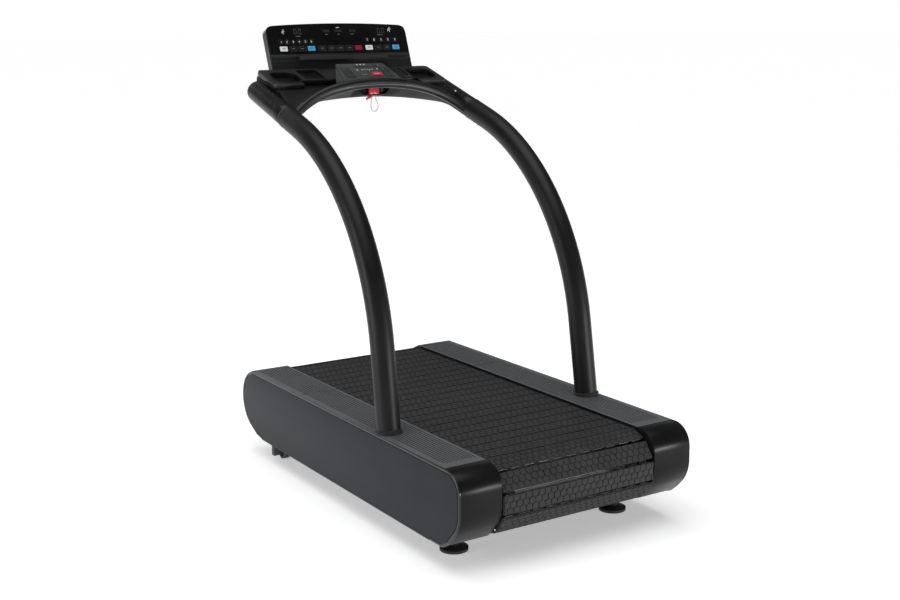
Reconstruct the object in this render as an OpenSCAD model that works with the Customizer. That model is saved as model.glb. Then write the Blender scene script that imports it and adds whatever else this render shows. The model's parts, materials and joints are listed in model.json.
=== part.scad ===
// Slat-belt treadmill. Millimetres, +Y is the way the runner faces, floor at z = 0.

/* [Base] */
// Overall width over both side covers
base_w = 860; // [840:5:900]
// Height of the flat cover tops
cover_z = 319; // [317:1:322]
// Width of the opening between the covers
opening_w = 567; // [566:1:568]
// Height of both roller axles
axle_z = 200; // [198:1:202]
// Length of one slat along the belt
slat_pitch = 60.8; // [60:0.1:61]
// Width of one slat
slat_w = 559; // [550:1:560]

/* [Handrail] */
// Outside diameter of the handrail tube
rail_d = 76; // [70:1:76]
// Distance of each tube from the middle at its foot
rail_x = 386; // [384:1:387]
// Bend radius of the tube's middle line
rail_bend_r = 800; // [780:5:820]

/* [Console] */
// Width of the display housing
board_w = 580; // [560:5:600]
// Height of the display housing along its slope
board_h = 171; // [165:1:175]
// Lean of the display housing from upright
board_tilt = 20; // [18:1:22]

/* [Motion] */
// Steepest grade as rise over run
max_grade = 0.15; // [0.05:0.01:0.15]

/* [Hidden] */
$fn = 48;

half_w = base_w / 2;
gap_half = opening_w / 2;
wall = 4;
panel_t = 3;
fit_gap = 0.3;

// Side outline: y and z of the arcs that round the two ends of the base
crease_y = -680;
flat_front_y = 647;
end_r = 112;
rear_arc_y = -650;
front_arc_y = 624;
arc_z = 207;
corner_r = 68;
skirt_z = 75;
skirt_rear_y = -658;
skirt_front_y = 578;

// Slat belt
slat_count = 52;
turn_slats = 10;
belt_r = slat_pitch * turn_slats / (2 * PI);
run_slats = (slat_count - turn_slats) / 2;
run_l = run_slats * slat_pitch;
turn_l = turn_slats / 2 * slat_pitch;
rear_axle_y = -653;
front_axle_y = rear_axle_y + run_l;
tread_r = 112;
tread_t = 8;
belt_t = 6.8;
belt_x = 247;
belt_w = 30;
flange_t = tread_r - tread_t - belt_r - belt_t / 2;
pulley_r = belt_r - belt_t / 2 - fit_gap;

// Frame rails
web_x = 289;
web_t = 6;
flange_w = 36;
frame_z0 = 95;
frame_z1 = 290;
frame_y0 = -705;
frame_y1 = 680;
shaft_r = 17.5;

// Levelling feet
foot_x = 306;
foot_y = -535;
ball_z = 22;
ball_r = 9;

// Lift legs and their rack and pinion
leg_x = 385;
leg_y = 547;
lift_y = 512.4;
lift_z = 140;
tooth_module = 3;
pinion_teeth = 14;
rack_pitch = PI * tooth_module;
pressure_angle = 20;
backlash = 0.8;
wheel_r = 32;

// Drive motor
motor_y = 440;
motor_z = 200;
motor_r = 58;
driven_r = 70;
motor_pulley_r = 22;
drive_x = 350;
motor_shaft_r = 9.9;

// Handrail
rail_r = rail_d / 2;
rail_wall = 3;
rail_y = -291;
rail_lean = 8;
rail_rise = 256;
rail_end = 72;
rail_tail = 97;
rail_root = 185;
rail_inward = 0.8;
grip_r = 37;
grip_l = 280;

// Ring seam at the top of each tube, in the upright plane of the tube
bend_c = [rail_y + rail_rise * sin(rail_lean) + rail_bend_r * cos(rail_lean),
    cover_z + rail_rise * cos(rail_lean) - rail_bend_r * sin(rail_lean)];
ring_y = bend_c[0] - rail_bend_r * cos(rail_end) + rail_tail * sin(rail_end);
ring_z = bend_c[1] + rail_bend_r * sin(rail_end) + rail_tail * cos(rail_end);

// Console
tray_y = 670;
tray_z = 1404;
tray_slope = 18;
tray_t = 16;
pad_y = 453;
pad_z = 1368;
pad_slope = 27;
board_t = 14;
back_y = tread_r - rear_axle_y;
shell_t = (back_y - tray_y - (board_h - 3) * sin(board_tilt)) / cos(board_tilt) - board_t;
cup_x = 278;
cup_v = -84;
cup_w = 104;
cup_l = 100;
cup_depth = 62;
bar_r = 17;
housing_back_y = 706;
housing_top_z = 1386;
bed_gap = 1;
pad_y0 = 446;
pad_y1 = 557.5;
pad_w0 = 118;
pad_w1 = 96;
speed_x = 80;
incline_x = -75;
rocker_v = 50;
rocker_w = 33;
rocker_l = 65.6;
rocker_axis = -6;
stop_x = 33;
stop_v = 36.5;
bay_y = 463;
key_z = 1326;
cord_y = 454;
cord_d = 2.5;
inlet_x = -357;
inlet_z = 206;
switch_y = 727;

// Middle line of the safety cord from the key round its loop to the clip, as [x, z]
cord_route = [[3, 1313.9], [4, 1308], [6, 1302], [9, 1296], [12, 1289], [15, 1282], [17, 1275], [17, 1268],
    [15, 1262], [10, 1257], [4, 1254], [-2, 1254], [-7, 1257], [-10, 1262], [-12, 1269], [-12, 1277],
    [-11, 1285], [-10, 1292], [-9, 1298], [-8, 1304]];

// ---- helper functions ----
function arc(cy, cz, r, a0, a1, n) = [for (i = [0:n]) let (a = a0 + (a1 - a0) * i / n)
    [cy + r * cos(a), cz + r * sin(a)]];

// Side outline of the base, drawn in by e all round
function side_outline(e) = concat(
    [[flat_front_y, cover_z - e]],
    arc(front_arc_y, arc_z, end_r - e, 76, -62, 12),
    [[621, 82 + e], [skirt_front_y, skirt_z + e], [skirt_rear_y, skirt_z + e]],
    [[-684, 85 + e], [-711 + e / 2, 108 + e]],
    arc(rear_arc_y, arc_z, end_r - e, 226, 180, 6),
    arc(rear_arc_y - end_r + corner_r, cover_z - corner_r, corner_r - e, 180, 90, 8));

// Middle line of the handlebar and lower edge of the console skirt against x
function bar_y(x) = 425 - 18 * pow(x / 300, 4);
function bar_z(x) = 1355 - 45 * pow(x / 300, 2) - 25.6 * pow(x / 300, 4);
function skirt_edge_y(x) = 518 - 24.5 * pow(x / 300, 4);
function skirt_edge_z(x) = 1303 - 28 * pow(x / 300, 2);
function pad_top_z(y) = pad_z + (y - pad_y) * tan(pad_slope);
function pad_half(y) = pad_w0 + (pad_w1 - pad_w0) * (y - pad_y0) / (pad_y1 - pad_y0);
function tray_under_z(y) = tray_z - (tray_y - y) * tan(tray_slope) - tray_t / cos(tray_slope);

// Involute tooth half angle at radius r, for a wheel of pitch radius p and base radius b
function involute(r, b) = r <= b ? 0 : sqrt(pow(r / b, 2) - 1) * 180 / PI - acos(b / r);
function tooth_half(r, p, b, t) = t / (2 * p) * 180 / PI + involute(p, b) - involute(r, b);
function gear_points(teeth, m, add, ded, play) = let (
    p = m * teeth / 2,
    b = p * cos(pressure_angle),
    t = PI * m / 2 - play,
    radii = [p - ded, max(b, p - ded + 0.6), p, p + add * 0.6, p + add])
    [for (i = [0:teeth - 1]) let (mid = (i + 0.5) * 360 / teeth) for (side = [0, 1], k = [0:4])
        let (r = radii[side == 0 ? k : 4 - k], h = tooth_half(r, p, b, t) * (side == 0 ? -1 : 1))
        [r * cos(mid + h), r * sin(mid + h)]];

// ---- helper modules ----
module mirror_x() {
    children();
    mirror([1, 0, 0]) children();
}

module tube_x(r, x0, x1) {
    translate([x0, 0, 0]) rotate([0, 90, 0]) cylinder(r = r, h = x1 - x0);
}

module ring_x_axis(r_out, r_in, x0, x1) {
    translate([x0, 0, 0]) rotate([0, 90, 0]) linear_extrude(x1 - x0) difference() {
        circle(r_out);
        circle(r_in);
    }
}

module block(x0, x1, y0, y1, z0, z1) {
    translate([x0, y0, z0]) cube([x1 - x0, y1 - y0, z1 - z0]);
}

// Extrudes a profile of [y, z] points from x0 to x1
module side_profile(points, x0, x1) {
    translate([x0, 0, 0]) rotate([90, 0, 90]) linear_extrude(x1 - x0) polygon(points);
}

// Skins a closed solid over a list of sections with equal point counts
module loft(sections) {
    n = len(sections[0]);
    m = len(sections);
    polyhedron(
        points = [for (s = sections, p = s) p],
        faces = concat([[for (i = [0:n - 1]) i]],
            [[for (i = [n - 1:-1:0]) (m - 1) * n + i]],
            [for (j = [0:m - 2], i = [0:n - 1]) [j * n + i, j * n + n + i, j * n + n + (i + 1) % n]],
            [for (j = [0:m - 2], i = [0:n - 1]) [j * n + i, j * n + n + (i + 1) % n, j * n + (i + 1) % n]]),
        convexity = 4);
}

// Rounded plate outline, centred in x, from v0 to v1
module round_rect(w, v0, v1, r) {
    for (sx = [-1, 1], v = [v0 + r, v1 - r]) translate([sx * (w / 2 - r), v]) circle(r);
    translate([-w / 2 + r, v0]) square([w - 2 * r, v1 - v0]);
    translate([-w / 2, v0 + r]) square([w, v1 - v0 - 2 * r]);
}

// Places a slat whose outward direction is local +z
module at_slat(k) {
    s = (k + 0.5) * slat_pitch;
    if (s < run_l)
        translate([0, rear_axle_y + s, axle_z]) children();
    else if (s < run_l + turn_l)
        translate([0, front_axle_y, axle_z]) rotate([-(s - run_l) / belt_r * 180 / PI, 0, 0]) children();
    else if (s < 2 * run_l + turn_l)
        translate([0, front_axle_y - (s - run_l - turn_l), axle_z]) rotate([180, 0, 0]) children();
    else
        translate([0, rear_axle_y, axle_z])
            rotate([-180 - (s - 2 * run_l - turn_l) / belt_r * 180 / PI, 0, 0]) children();
}

// Closed flat belt round two wheels whose axes lie along x
module belt_loop(y0, z0, r0, y1, z1, r1, t) {
    difference() {
        belt_area(y0, z0, r0 + t, y1, z1, r1 + t);
        belt_area(y0, z0, r0, y1, z1, r1);
    }
}

module belt_area(y0, z0, r0, y1, z1, r1) {
    d = sqrt(pow(y1 - y0, 2) + pow(z1 - z0, 2));
    a = atan2(z1 - z0, y1 - y0);
    b = acos((r0 - r1) / d);
    translate([y0, z0]) circle(r0);
    translate([y1, z1]) circle(r1);
    polygon([[y0 + r0 * cos(a + b), z0 + r0 * sin(a + b)], [y1 + r1 * cos(a + b), z1 + r1 * sin(a + b)],
        [y1 + r1 * cos(a - b), z1 + r1 * sin(a - b)], [y0 + r0 * cos(a - b), z0 + r0 * sin(a - b)]]);
}

// Frame of the left or right tube: origin at its foot on the cover, leaning inward
module at_rail(side) {
    translate([side * rail_x, 0, cover_z]) rotate([0, -side * rail_inward, 0])
        translate([0, 0, -cover_z]) children();
}

// Foot axis of the tube, local +z up along it
module at_rail_foot() {
    translate([0, rail_y, cover_z]) rotate([-rail_lean, 0, 0]) children();
}

// Seam ring frame, local +z forward along the grip
module at_ring() {
    translate([0, ring_y, ring_z]) rotate([-rail_end, 0, 0]) children();
}

module at_tray() {
    translate([0, tray_y, tray_z]) rotate([tray_slope, 0, 0]) children();
}

module at_pad() {
    translate([0, pad_y, pad_z]) rotate([pad_slope, 0, 0]) children();
}

module at_board() {
    translate([0, tray_y, tray_z]) rotate([90 - board_tilt, 0, 0]) children();
}

// The bend of the tube: an area swept between the lean angle and the end angle
module sweep_bend() {
    translate([0, bend_c[0], bend_c[1]]) rotate([90, 0, 90]) rotate([0, 0, 180 - rail_end])
        rotate_extrude(angle = rail_end - rail_lean) translate([rail_bend_r, 0]) children();
}

// ---- feet ----
module rear_foot_pads() {
    color("#1c1c1e") for (side = [-1, 1]) translate([side * foot_x, foot_y, 0]) difference() {
        union() {
            cylinder(r = 44, h = 9);
            translate([0, 0, 9]) cylinder(r1 = 40, r2 = 17, h = 8, $fn = 48);
            translate([0, 0, 17]) cylinder(r = 17, h = 12);
        }
        translate([0, 0, ball_z]) sphere(r = ball_r + 0.05, $fn = 48);
        translate([0, 0, ball_z + 1]) cylinder(r1 = 7.6, r2 = 9.6, h = 12, $fn = 48);
    }
}

module levelling_studs() {
    color("silver") for (side = [-1, 1]) translate([side * foot_x, foot_y, 0]) {
        translate([0, 0, ball_z]) sphere(r = ball_r, $fn = 48);
        translate([0, 0, ball_z]) cylinder(r = 6, h = frame_z0 + 24 - ball_z);
        translate([0, 0, frame_z0 - 10]) cylinder(r = 11, h = 9.9, $fn = 6);
    }
}

// ---- frame ----
module frame_rail() {
    difference() {
        intersection() {
            union() {
                block(web_x, web_x + web_t, frame_y0, frame_y1, frame_z0, frame_z1);
                block(web_x + web_t, web_x + flange_w, frame_y0 + 60, 500, frame_z0, frame_z0 + 6);
                block(web_x + web_t, web_x + flange_w, frame_y0 + 60, 620, frame_z1 - 6, frame_z1);
            }
            side_profile(side_outline(8), web_x - 1, web_x + flange_w + 1);
        }
        for (y = [rear_axle_y, front_axle_y]) translate([0, y, axle_z]) tube_x(30, web_x - 1, web_x + 20);
        translate([0, motor_y, motor_z]) tube_x(20, web_x - 1, web_x + 20);
        translate([0, lift_y, lift_z]) tube_x(12, web_x - 1, web_x + 20);
        translate([foot_x, foot_y, frame_z0 - 1]) cylinder(r = 6, h = 8);
        for (y = window_ys) translate([0, y, 190]) tube_x(32, web_x - 1, web_x + 20);
    }
}

module left_frame_rail() {
    color("dimgray") mirror([1, 0, 0]) frame_rail();
}

module right_frame_rail() {
    color("dimgray") frame_rail();
}

cross_ys = [-480, -80, 320];
window_ys = [-580, -200, 40, 160, 230];

module cross_members() {
    color("dimgray") for (y = cross_ys) difference() {
        block(-web_x, web_x, y - 25, y + 25, 160, 250);
        block(-web_x - 1, web_x + 1, y - 21, y + 21, 164, 246);
    }
}

roller_ys = [for (i = [0:10]) -560 + i * 106];
roller_r = 18;
roller_z = axle_z + belt_r - belt_t / 2 - 0.1 - roller_r;

module roller_tracks() {
    color("gray") mirror_x() {
        block(266, 276, -590, 530, 250, 288);
        for (y = [-520, -300, -80, 140, 360, 500]) block(276, web_x, y - 15, y + 15, 255, 280);
        for (y = roller_ys) translate([0, y, roller_z]) tube_x(6, 230, 266);
    }
}

module support_rollers() {
    color("lightgray") mirror_x() for (y = roller_ys) translate([0, y, roller_z])
        ring_x_axis(roller_r, 6.05, 234, 260);
}

// ---- slat belt ----
module slat_beams() {
    flange_z = tread_r - tread_t - flange_t;
    color("darkgray") for (k = [0:slat_count - 1]) at_slat(k) {
        block(-slat_w / 2 + 2, slat_w / 2 - 2, -25, 25, flange_z, flange_z + flange_t);
        block(-belt_x + 19, belt_x - 19, -2.5, 2.5, 72, flange_z);
    }
}

module slat_treads() {
    color("#232323") for (k = [0:slat_count - 1]) at_slat(k)
        block(-slat_w / 2, slat_w / 2, -29.6, 29.6, tread_r - tread_t, tread_r);
}

module carrier_belts() {
    r = belt_r - belt_t / 2;
    color("#303030") for (side = [-1, 1]) translate([side * belt_x - belt_w / 2, 0, 0])
        rotate([90, 0, 90]) linear_extrude(belt_w)
            belt_loop(rear_axle_y, axle_z, r, front_axle_y, axle_z, r, belt_t);
}

// ---- rollers and drive ----
module frame_bearings() {
    color("silver") mirror_x() {
        for (y = [rear_axle_y, front_axle_y]) translate([0, y, axle_z]) {
            ring_x_axis(30, shaft_r + 0.05, web_x, web_x + web_t);
            ring_x_axis(42, shaft_r + 0.05, web_x + web_t, web_x + web_t + 14);
        }
        translate([0, lift_y, lift_z]) {
            ring_x_axis(12, 8.05, web_x, web_x + web_t);
            ring_x_axis(16, 8.05, web_x + web_t, web_x + web_t + 6);
        }
    }
    color("silver") translate([0, motor_y, motor_z])
        ring_x_axis(20, motor_shaft_r + 0.05, web_x, web_x + web_t + 8);
}

module pulley_pair() {
    mirror_x() difference() {
        ring_x_axis(pulley_r, shaft_r, belt_x - 17, belt_x + 17);
        for (a = [0:60:300]) rotate([a, 0, 0]) translate([0, 55, 0]) tube_x(20, belt_x - 18, belt_x + 18);
    }
}

module front_shaft() {
    color("silver") translate([0, front_axle_y, axle_z]) tube_x(shaft_r, -web_x - web_t - 16, drive_x + 14);
}

module front_pulleys() {
    color("gray") translate([0, front_axle_y, axle_z]) pulley_pair();
}

module driven_pulley() {
    color("gray") translate([0, front_axle_y, axle_z]) difference() {
        ring_x_axis(driven_r, shaft_r, drive_x - 12, drive_x + 12);
        for (a = [0:60:300]) rotate([a, 0, 0]) translate([0, 42, 0]) tube_x(14, drive_x - 13, drive_x + 13);
    }
}

module rear_shaft() {
    color("silver") translate([0, rear_axle_y, axle_z])
        tube_x(shaft_r, -web_x - web_t - 16, web_x + web_t + 16);
}

module rear_pulleys() {
    color("gray") translate([0, rear_axle_y, axle_z]) pulley_pair();
}

module motor_housing() {
    mount_y = cross_ys[2] + 25;
    color("#3a3a3c") translate([0, motor_y, motor_z]) {
        ring_x_axis(motor_r, 42, -10, 190);
        ring_x_axis(motor_r, motor_shaft_r + 0.05, -22, -10);
        ring_x_axis(motor_r, motor_shaft_r + 0.05, 190, 202);
    }
    color("#3a3a3c") difference() {
        block(10, 180, mount_y, motor_y - 34, 165, 235);
        translate([0, motor_y, motor_z]) tube_x(motor_r - 1, 0, 200);
    }
}

module motor_rotor() {
    color("silver") translate([0, motor_y, motor_z]) {
        tube_x(motor_shaft_r, -26, drive_x + 14);
        tube_x(41, 10, 170);
    }
}

module motor_pulley() {
    color("gray") translate([0, motor_y, motor_z])
        ring_x_axis(motor_pulley_r, motor_shaft_r, drive_x - 12, drive_x + 12);
}

module drive_belt() {
    color("#202020") translate([drive_x - 10, 0, 0]) rotate([90, 0, 90]) linear_extrude(20)
        belt_loop(front_axle_y, axle_z, driven_r + fit_gap, motor_y, motor_z, motor_pulley_r + fit_gap, 4);
}

module motor_controller() {
    color("#4a4d50") difference() {
        block(-110, 110, 90, 280, 165, 235);
        for (x = [-98:14:98]) block(x, x + 8, 89, 281, 205, 236);
    }
    color("#4a4d50") block(-90, 90, cross_ys[1] + 25, 90, 165, 171);
}

// ---- lift ----
module lift_motor() {
    color("#44474a") difference() {
        union() {
            block(-200, -110, 484, 540, 129.5, 185);
            block(-200, -110, 350, 484, 150, 215);
            block(-190, -120, cross_ys[2] + 25, 350, 165, 200);
        }
        translate([0, lift_y, lift_z]) tube_x(8.3, -201, -109);
    }
}

module lift_shaft() {
    color("silver") translate([0, lift_y, lift_z]) tube_x(8, -leg_x - 15, leg_x + 15);
}

module lift_pinions() {
    color("silver") mirror_x() translate([leg_x - 13, lift_y, lift_z])
        rotate([90, 0, 90]) linear_extrude(26) difference() {
            polygon(gear_points(pinion_teeth, tooth_module, 2.8, 3.2, backlash));
            circle(8);
        }
}

module lift_guides() {
    color("dimgray") mirror_x() difference() {
        union() {
            block(leg_x - 20, leg_x + 20, leg_y - 14, leg_y + 14.4, 90, 312);
            block(web_x + web_t, leg_x - 20, leg_y - 6, leg_y + 6, 101, 125);
            block(web_x + web_t, leg_x - 20, leg_y - 6, leg_y + 6, 268, 284);
        }
        block(leg_x - 15.3, leg_x + 15.3, leg_y - 10.3, leg_y + 10.3, 89, 313);
        block(leg_x - 13.5, leg_x + 13.5, leg_y - 15, leg_y - 10, 89, 313);
    }
}

// Rack tooth in the y-z plane, pointing to -y, centred on z = 0
function rack_tooth(root_y) = let (
    add = 2.3,
    ded = 3.7,
    half = rack_pitch / 4 - backlash / 4,
    slope = tan(pressure_angle))
    [[root_y, -half - ded * slope], [root_y, half + ded * slope],
        [root_y - ded - add, half - add * slope], [root_y - ded - add, -half + add * slope]];

module lift_leg() {
    block(leg_x - 15, leg_x + 15, leg_y - 10, leg_y + 10, 18, 312);
    for (i = [-1:17]) translate([0, 0, lift_z + i * rack_pitch])
        side_profile(rack_tooth(leg_y - 10), leg_x - 13, leg_x + 13);
    translate([0, leg_y, wheel_r]) tube_x(6, leg_x - 44, leg_x - 15);
    translate([0, leg_y, wheel_r]) tube_x(9, leg_x - 44, leg_x - 41.4);
}

module left_lift_leg() {
    color("gray") mirror([1, 0, 0]) lift_leg();
}

module right_lift_leg() {
    color("gray") lift_leg();
}

module wheel() {
    translate([0, leg_y, wheel_r]) difference() {
        ring_x_axis(wheel_r, 6.05, leg_x - 41, leg_x - 19);
        ring_x_axis(24, 13, leg_x - 42, leg_x - 37);
        ring_x_axis(24, 13, leg_x - 23, leg_x - 18);
    }
}

module left_wheel() {
    color("#222222") mirror([1, 0, 0]) wheel();
}

module right_wheel() {
    color("#222222") wheel();
}

// ---- covers ----
module side_panel() {
    side_profile(side_outline(0), half_w - panel_t, half_w);
}

module left_side_panel() {
    color("#4b4d52") mirror([1, 0, 0]) side_panel();
}

module right_side_panel() {
    color("#4b4d52") side_panel();
}

seam_y = 249;
rib_pitch = 10.5;

// Flat cover with a skirt beside the slats; ribs says whether its top is grooved
module top_plate(y0, y1) {
    difference() {
        union() {
            block(gap_half, half_w - panel_t, y0, y1, cover_z - wall, cover_z);
            block(gap_half, gap_half + wall, y0, y1, 292, cover_z - wall);
        }
        for (x = [gap_half + 12:rib_pitch:half_w - 25])
            block(x, x + 2.6, y0 + 40, y1 - 2, cover_z - 1.2, cover_z + 1);
        at_rail(1) at_rail_foot() translate([0, 0, -40]) cylinder(r = rail_r + 0.5, h = 80);
    }
}

module left_top_cover() {
    color("#55565a") mirror([1, 0, 0]) top_plate(crease_y, seam_y);
}

module right_top_cover() {
    color("#55565a") top_plate(crease_y, seam_y);
}

module front_covers() {
    color("#55565a") mirror_x() top_plate(seam_y + 1, flat_front_y);
}

// Rounded hollow end of a cover between y0 and y1
module end_cap(y0, y1, axle_y) {
    difference() {
        intersection() {
            union() {
                difference() {
                    side_profile(side_outline(0), gap_half, half_w - panel_t);
                    side_profile(side_outline(wall), gap_half - 1, half_w);
                }
                side_profile(side_outline(wall), gap_half, gap_half + wall);
            }
            block(gap_half, half_w - panel_t, y0, y1, 0, 400);
        }
        translate([0, axle_y, axle_z]) tube_x(50, gap_half - 1, gap_half + wall + 1);
    }
}

module left_rear_cap() {
    color("#1b1b1d") mirror([1, 0, 0]) end_cap(-800, crease_y, rear_axle_y);
}

module right_rear_cap() {
    color("#1b1b1d") end_cap(-800, crease_y, rear_axle_y);
}

module left_front_cap() {
    color("#1b1b1d") difference() {
        mirror([1, 0, 0]) end_cap(flat_front_y, 800, front_axle_y);
        block(inlet_x - 33, inlet_x + 33, 720, 760, inlet_z - 25, inlet_z + 25);
    }
}

module right_front_cap() {
    color("#1b1b1d") end_cap(flat_front_y, 800, front_axle_y);
}

module switch_pin(r, x) {
    translate([inlet_x + 18, switch_y, inlet_z]) tube_x(r, -x, x);
}

module power_inlet() {
    color("#111111") difference() {
        block(inlet_x - 32.7, inlet_x + 32.7, 714, 738, inlet_z - 24.7, inlet_z + 24.7);
        block(inlet_x - 28, inlet_x, 722, 739, inlet_z - 16, inlet_z + 16);
        block(inlet_x + 7.7, inlet_x + 28.3, 722, 739, inlet_z - 15.3, inlet_z + 15.3);
        switch_pin(1.55, 12);
    }
    color("silver") for (dx = [-22, -14, -6])
        block(inlet_x + dx - 1, inlet_x + dx + 1, 722, 732, inlet_z - 3, inlet_z + 3);
}

module power_switch() {
    color("#8a1c1c") translate([inlet_x + 8, switch_y, inlet_z]) rotate([7, 0, 0])
        side_profile([[-3, -2], [6, -13], [10, -13], [8, 0], [10, 13], [6, 13], [-3, 2]], 0, 20);
    color("#8a1c1c") switch_pin(1.5, 11.9);
}

// ---- handrails ----
module rail_mounts() {
    color("dimgray") mirror_x() difference() {
        union() {
            block(web_x + web_t, half_w - 6, -372, -262, 135, 205);
            block(web_x + web_t, half_w - 6, -360, -250, 220, 280);
        }
        at_rail(1) at_rail_foot() translate([0, 0, -rail_root - 20]) cylinder(r = rail_r, h = rail_root + 60);
    }
}

module rail_collars() {
    color("#111111") mirror_x() difference() {
        at_rail(1) at_rail_foot() translate([0, 0, -12]) cylinder(r = rail_r + 5, h = 21);
        at_rail(1) at_rail_foot() translate([0, 0, -20]) cylinder(r = rail_r, h = 40);
        translate([0, 0, cover_z - 50]) cube([1000, 1500, 100], center = true);
    }
}

module tube_ring() {
    difference() {
        circle(rail_r);
        circle(rail_r - rail_wall);
    }
}

module handrail(side) {
    at_rail(side) difference() {
        union() {
            at_rail_foot() translate([0, 0, -rail_root]) linear_extrude(rail_root + rail_rise) tube_ring();
            sweep_bend() tube_ring();
            at_ring() translate([0, 0, -rail_tail]) linear_extrude(rail_tail) tube_ring();
        }
        bolt_shanks(4);
    }
}

// Two bolts under the tube, a little below the ring
bolt_ds = [28, 56];

module bolt_shanks(r) {
    for (d = bolt_ds) at_ring() translate([0, 0, -d]) rotate([-90, 0, 0]) translate([0, 0, rail_r - 14])
        cylinder(r = r, h = 14);
}

module left_handrail() {
    color("#1a1a1c") handrail(-1);
}

module right_handrail() {
    color("#1a1a1c") handrail(1);
}

module grip_solid() {
    plug_r = rail_r - rail_wall - 0.1;
    nose = 24;
    rotate_extrude() polygon(concat(
        [[0, -75], [plug_r, -75], [plug_r, 0.2], [grip_r + 1, 0.2], [grip_r + 1, 3], [grip_r, 4]],
        [for (a = [0:10:90]) [grip_r - nose + nose * cos(a), grip_l - nose + nose * sin(a)]],
        [[0, grip_l]]));
}

module grip_castings() {
    color("#222224") for (side = [-1, 1]) at_rail(side) difference() {
        at_ring() grip_solid();
        bolt_shanks(4);
    }
}

module rail_bolts() {
    color("#111111") for (side = [-1, 1]) at_rail(side) {
        bolt_shanks(3.95);
        for (d = bolt_ds) at_ring() translate([0, 0, -d]) rotate([-90, 0, 0]) translate([0, 0, rail_r])
            cylinder(r = 7, h = 5);
    }
}

// ---- console ----
bar_xs = [for (i = [-18:18]) i * 345 / 18];

module handlebar() {
    sections = [for (x = bar_xs) [for (i = [0:15]) let (a = i * 360 / 16)
        [x, bar_y(x) + (bar_r - 1) * cos(a), bar_z(x) + (bar_r + 1) * sin(a)]]];
    color("#202022") difference() {
        loft(sections);
        grip_room();
    }
}

// Room that the tubes and grips take up in the console
module grip_room() {
    for (side = [-1, 1]) at_rail(side) at_ring() {
        translate([0, 0, -100]) cylinder(r = grip_r + 2, h = 104);
        translate([0, 0, 3.5]) cylinder(r = grip_r + 0.1, h = grip_l);
    }
}

// Side section of the housing at x, drawn in by e; under the pad its top is level from side to side
function housing_section(x, e) = let (
    top_x = max(abs(x), pad_w0),
    front = bar_y(top_x) + bar_r,
    crest = skirt_edge_y(top_x) + 20)
    [[x, front + e, bar_z(top_x) + 4 - e], [x, front + e, bar_z(top_x) - 13 + e],
        [x, skirt_edge_y(x) + e, skirt_edge_z(x) + e], [x, housing_back_y - e, skirt_edge_z(x) + 50 + e],
        [x, housing_back_y - e, housing_top_z - e], [x, 672, housing_top_z - e],
        [x, crest, tray_under_z(crest) - bed_gap - e]];

// Height of the housing's top under the pad
pad_front = bar_y(pad_w0) + bar_r;
pad_crest = skirt_edge_y(pad_w0) + 20;
function pad_bed_z(y) = y > pad_crest ? tray_under_z(y) :
    bar_z(pad_w0) + 4 +
    (tray_under_z(pad_crest) - bar_z(pad_w0) - 4) * (y - pad_front) / (pad_crest - pad_front);

module console_housing() {
    outer_xs = [for (i = [-12:12]) i * 345 / 12];
    inner_xs = [for (i = [-10:10]) i * 300 / 10];
    color("#202022") difference() {
        loft([for (x = outer_xs) housing_section(x, 0)]);
        loft([for (x = inner_xs) housing_section(x, 3)]);
        grip_room();
        at_tray() for (side = [-1, 1]) translate([side * cup_x, cup_v, -cup_depth - 2])
            linear_extrude(cup_depth) cup_area(-0.5);
        block(-62, 62, 400, 512, 1290, 1341);
    }
    color("#202022") difference() {
        block(-62, 62, bay_y - 5, 512, 1306, 1341);
        block(-56, 56, bay_y - 6, bay_y, 1310, 1339);
        block(-8.3, 8.3, bay_y - 1, bay_y + 22, key_z - 4.3, key_z + 4.3);
    }
}

// Rounded opening of a drink holder, drawn in by e
module cup_area(e) {
    round_rect(cup_w - 2 * e, -cup_l / 2 + e, cup_l / 2 - e, 34 - e);
}

module tray_outline() {
    difference() {
        union() {
            translate([-352, -132]) square([704, 114]);
            translate([-332, -160]) square([664, 160]);
            for (side = [-1, 1]) translate([side * 324, -132]) circle(28);
            for (side = [-1, 1]) translate([side * 334, -18]) circle(18);
        }
        translate([-236, -170]) square([472, 45]);
    }
}

module console_tray() {
    color("#3a3c3d") difference() {
        at_tray() difference() {
            translate([0, 0, -tray_t]) linear_extrude(tray_t) tray_outline();
            for (side = [-1, 1]) translate([side * cup_x, cup_v, -tray_t - 1])
                linear_extrude(tray_t + 2) cup_area(0);
            translate([-212, -112, -10]) cube([86, 98, 11]);
            translate([208, -104, -tray_t - 1]) cube([12, 92, tray_t + 2]);
        }
        block(-pad_w0 - 0.3, pad_w0 + 0.3, 500, pad_y1 + 0.3, 1300, 1500);
    }
}

module cup_inserts() {
    color("#161616") at_tray() for (side = [-1, 1]) translate([side * cup_x, cup_v, 0]) difference() {
        union() {
            translate([0, 0, -cup_depth]) linear_extrude(cup_depth) cup_area(0.1);
            linear_extrude(2) cup_area(-3);
        }
        translate([0, 0, 3 - cup_depth]) linear_extrude(cup_depth) cup_area(3);
    }
}

module board_outline(w, v0, v1, r) {
    round_rect(w, v0, v1, r);
    translate([-w / 2, v0]) square([w, 60]);
}

module display_front() {
    color("#101012") difference() {
        at_board() {
            translate([0, 0, -board_t]) linear_extrude(board_t) board_outline(board_w, -20, board_h, 28);
            difference() {
                translate([-185, 26, 0]) cube([370, 16, 18]);
                translate([-181, 31, 3]) cube([362, 14, 10]);
            }
        }
        translate([0, 0, housing_top_z - 100]) cube([1200, 3000, 200], center = true);
        at_tray() translate([-400, -300, -100]) cube([800, 300.1, 100]);
    }
}

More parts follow.
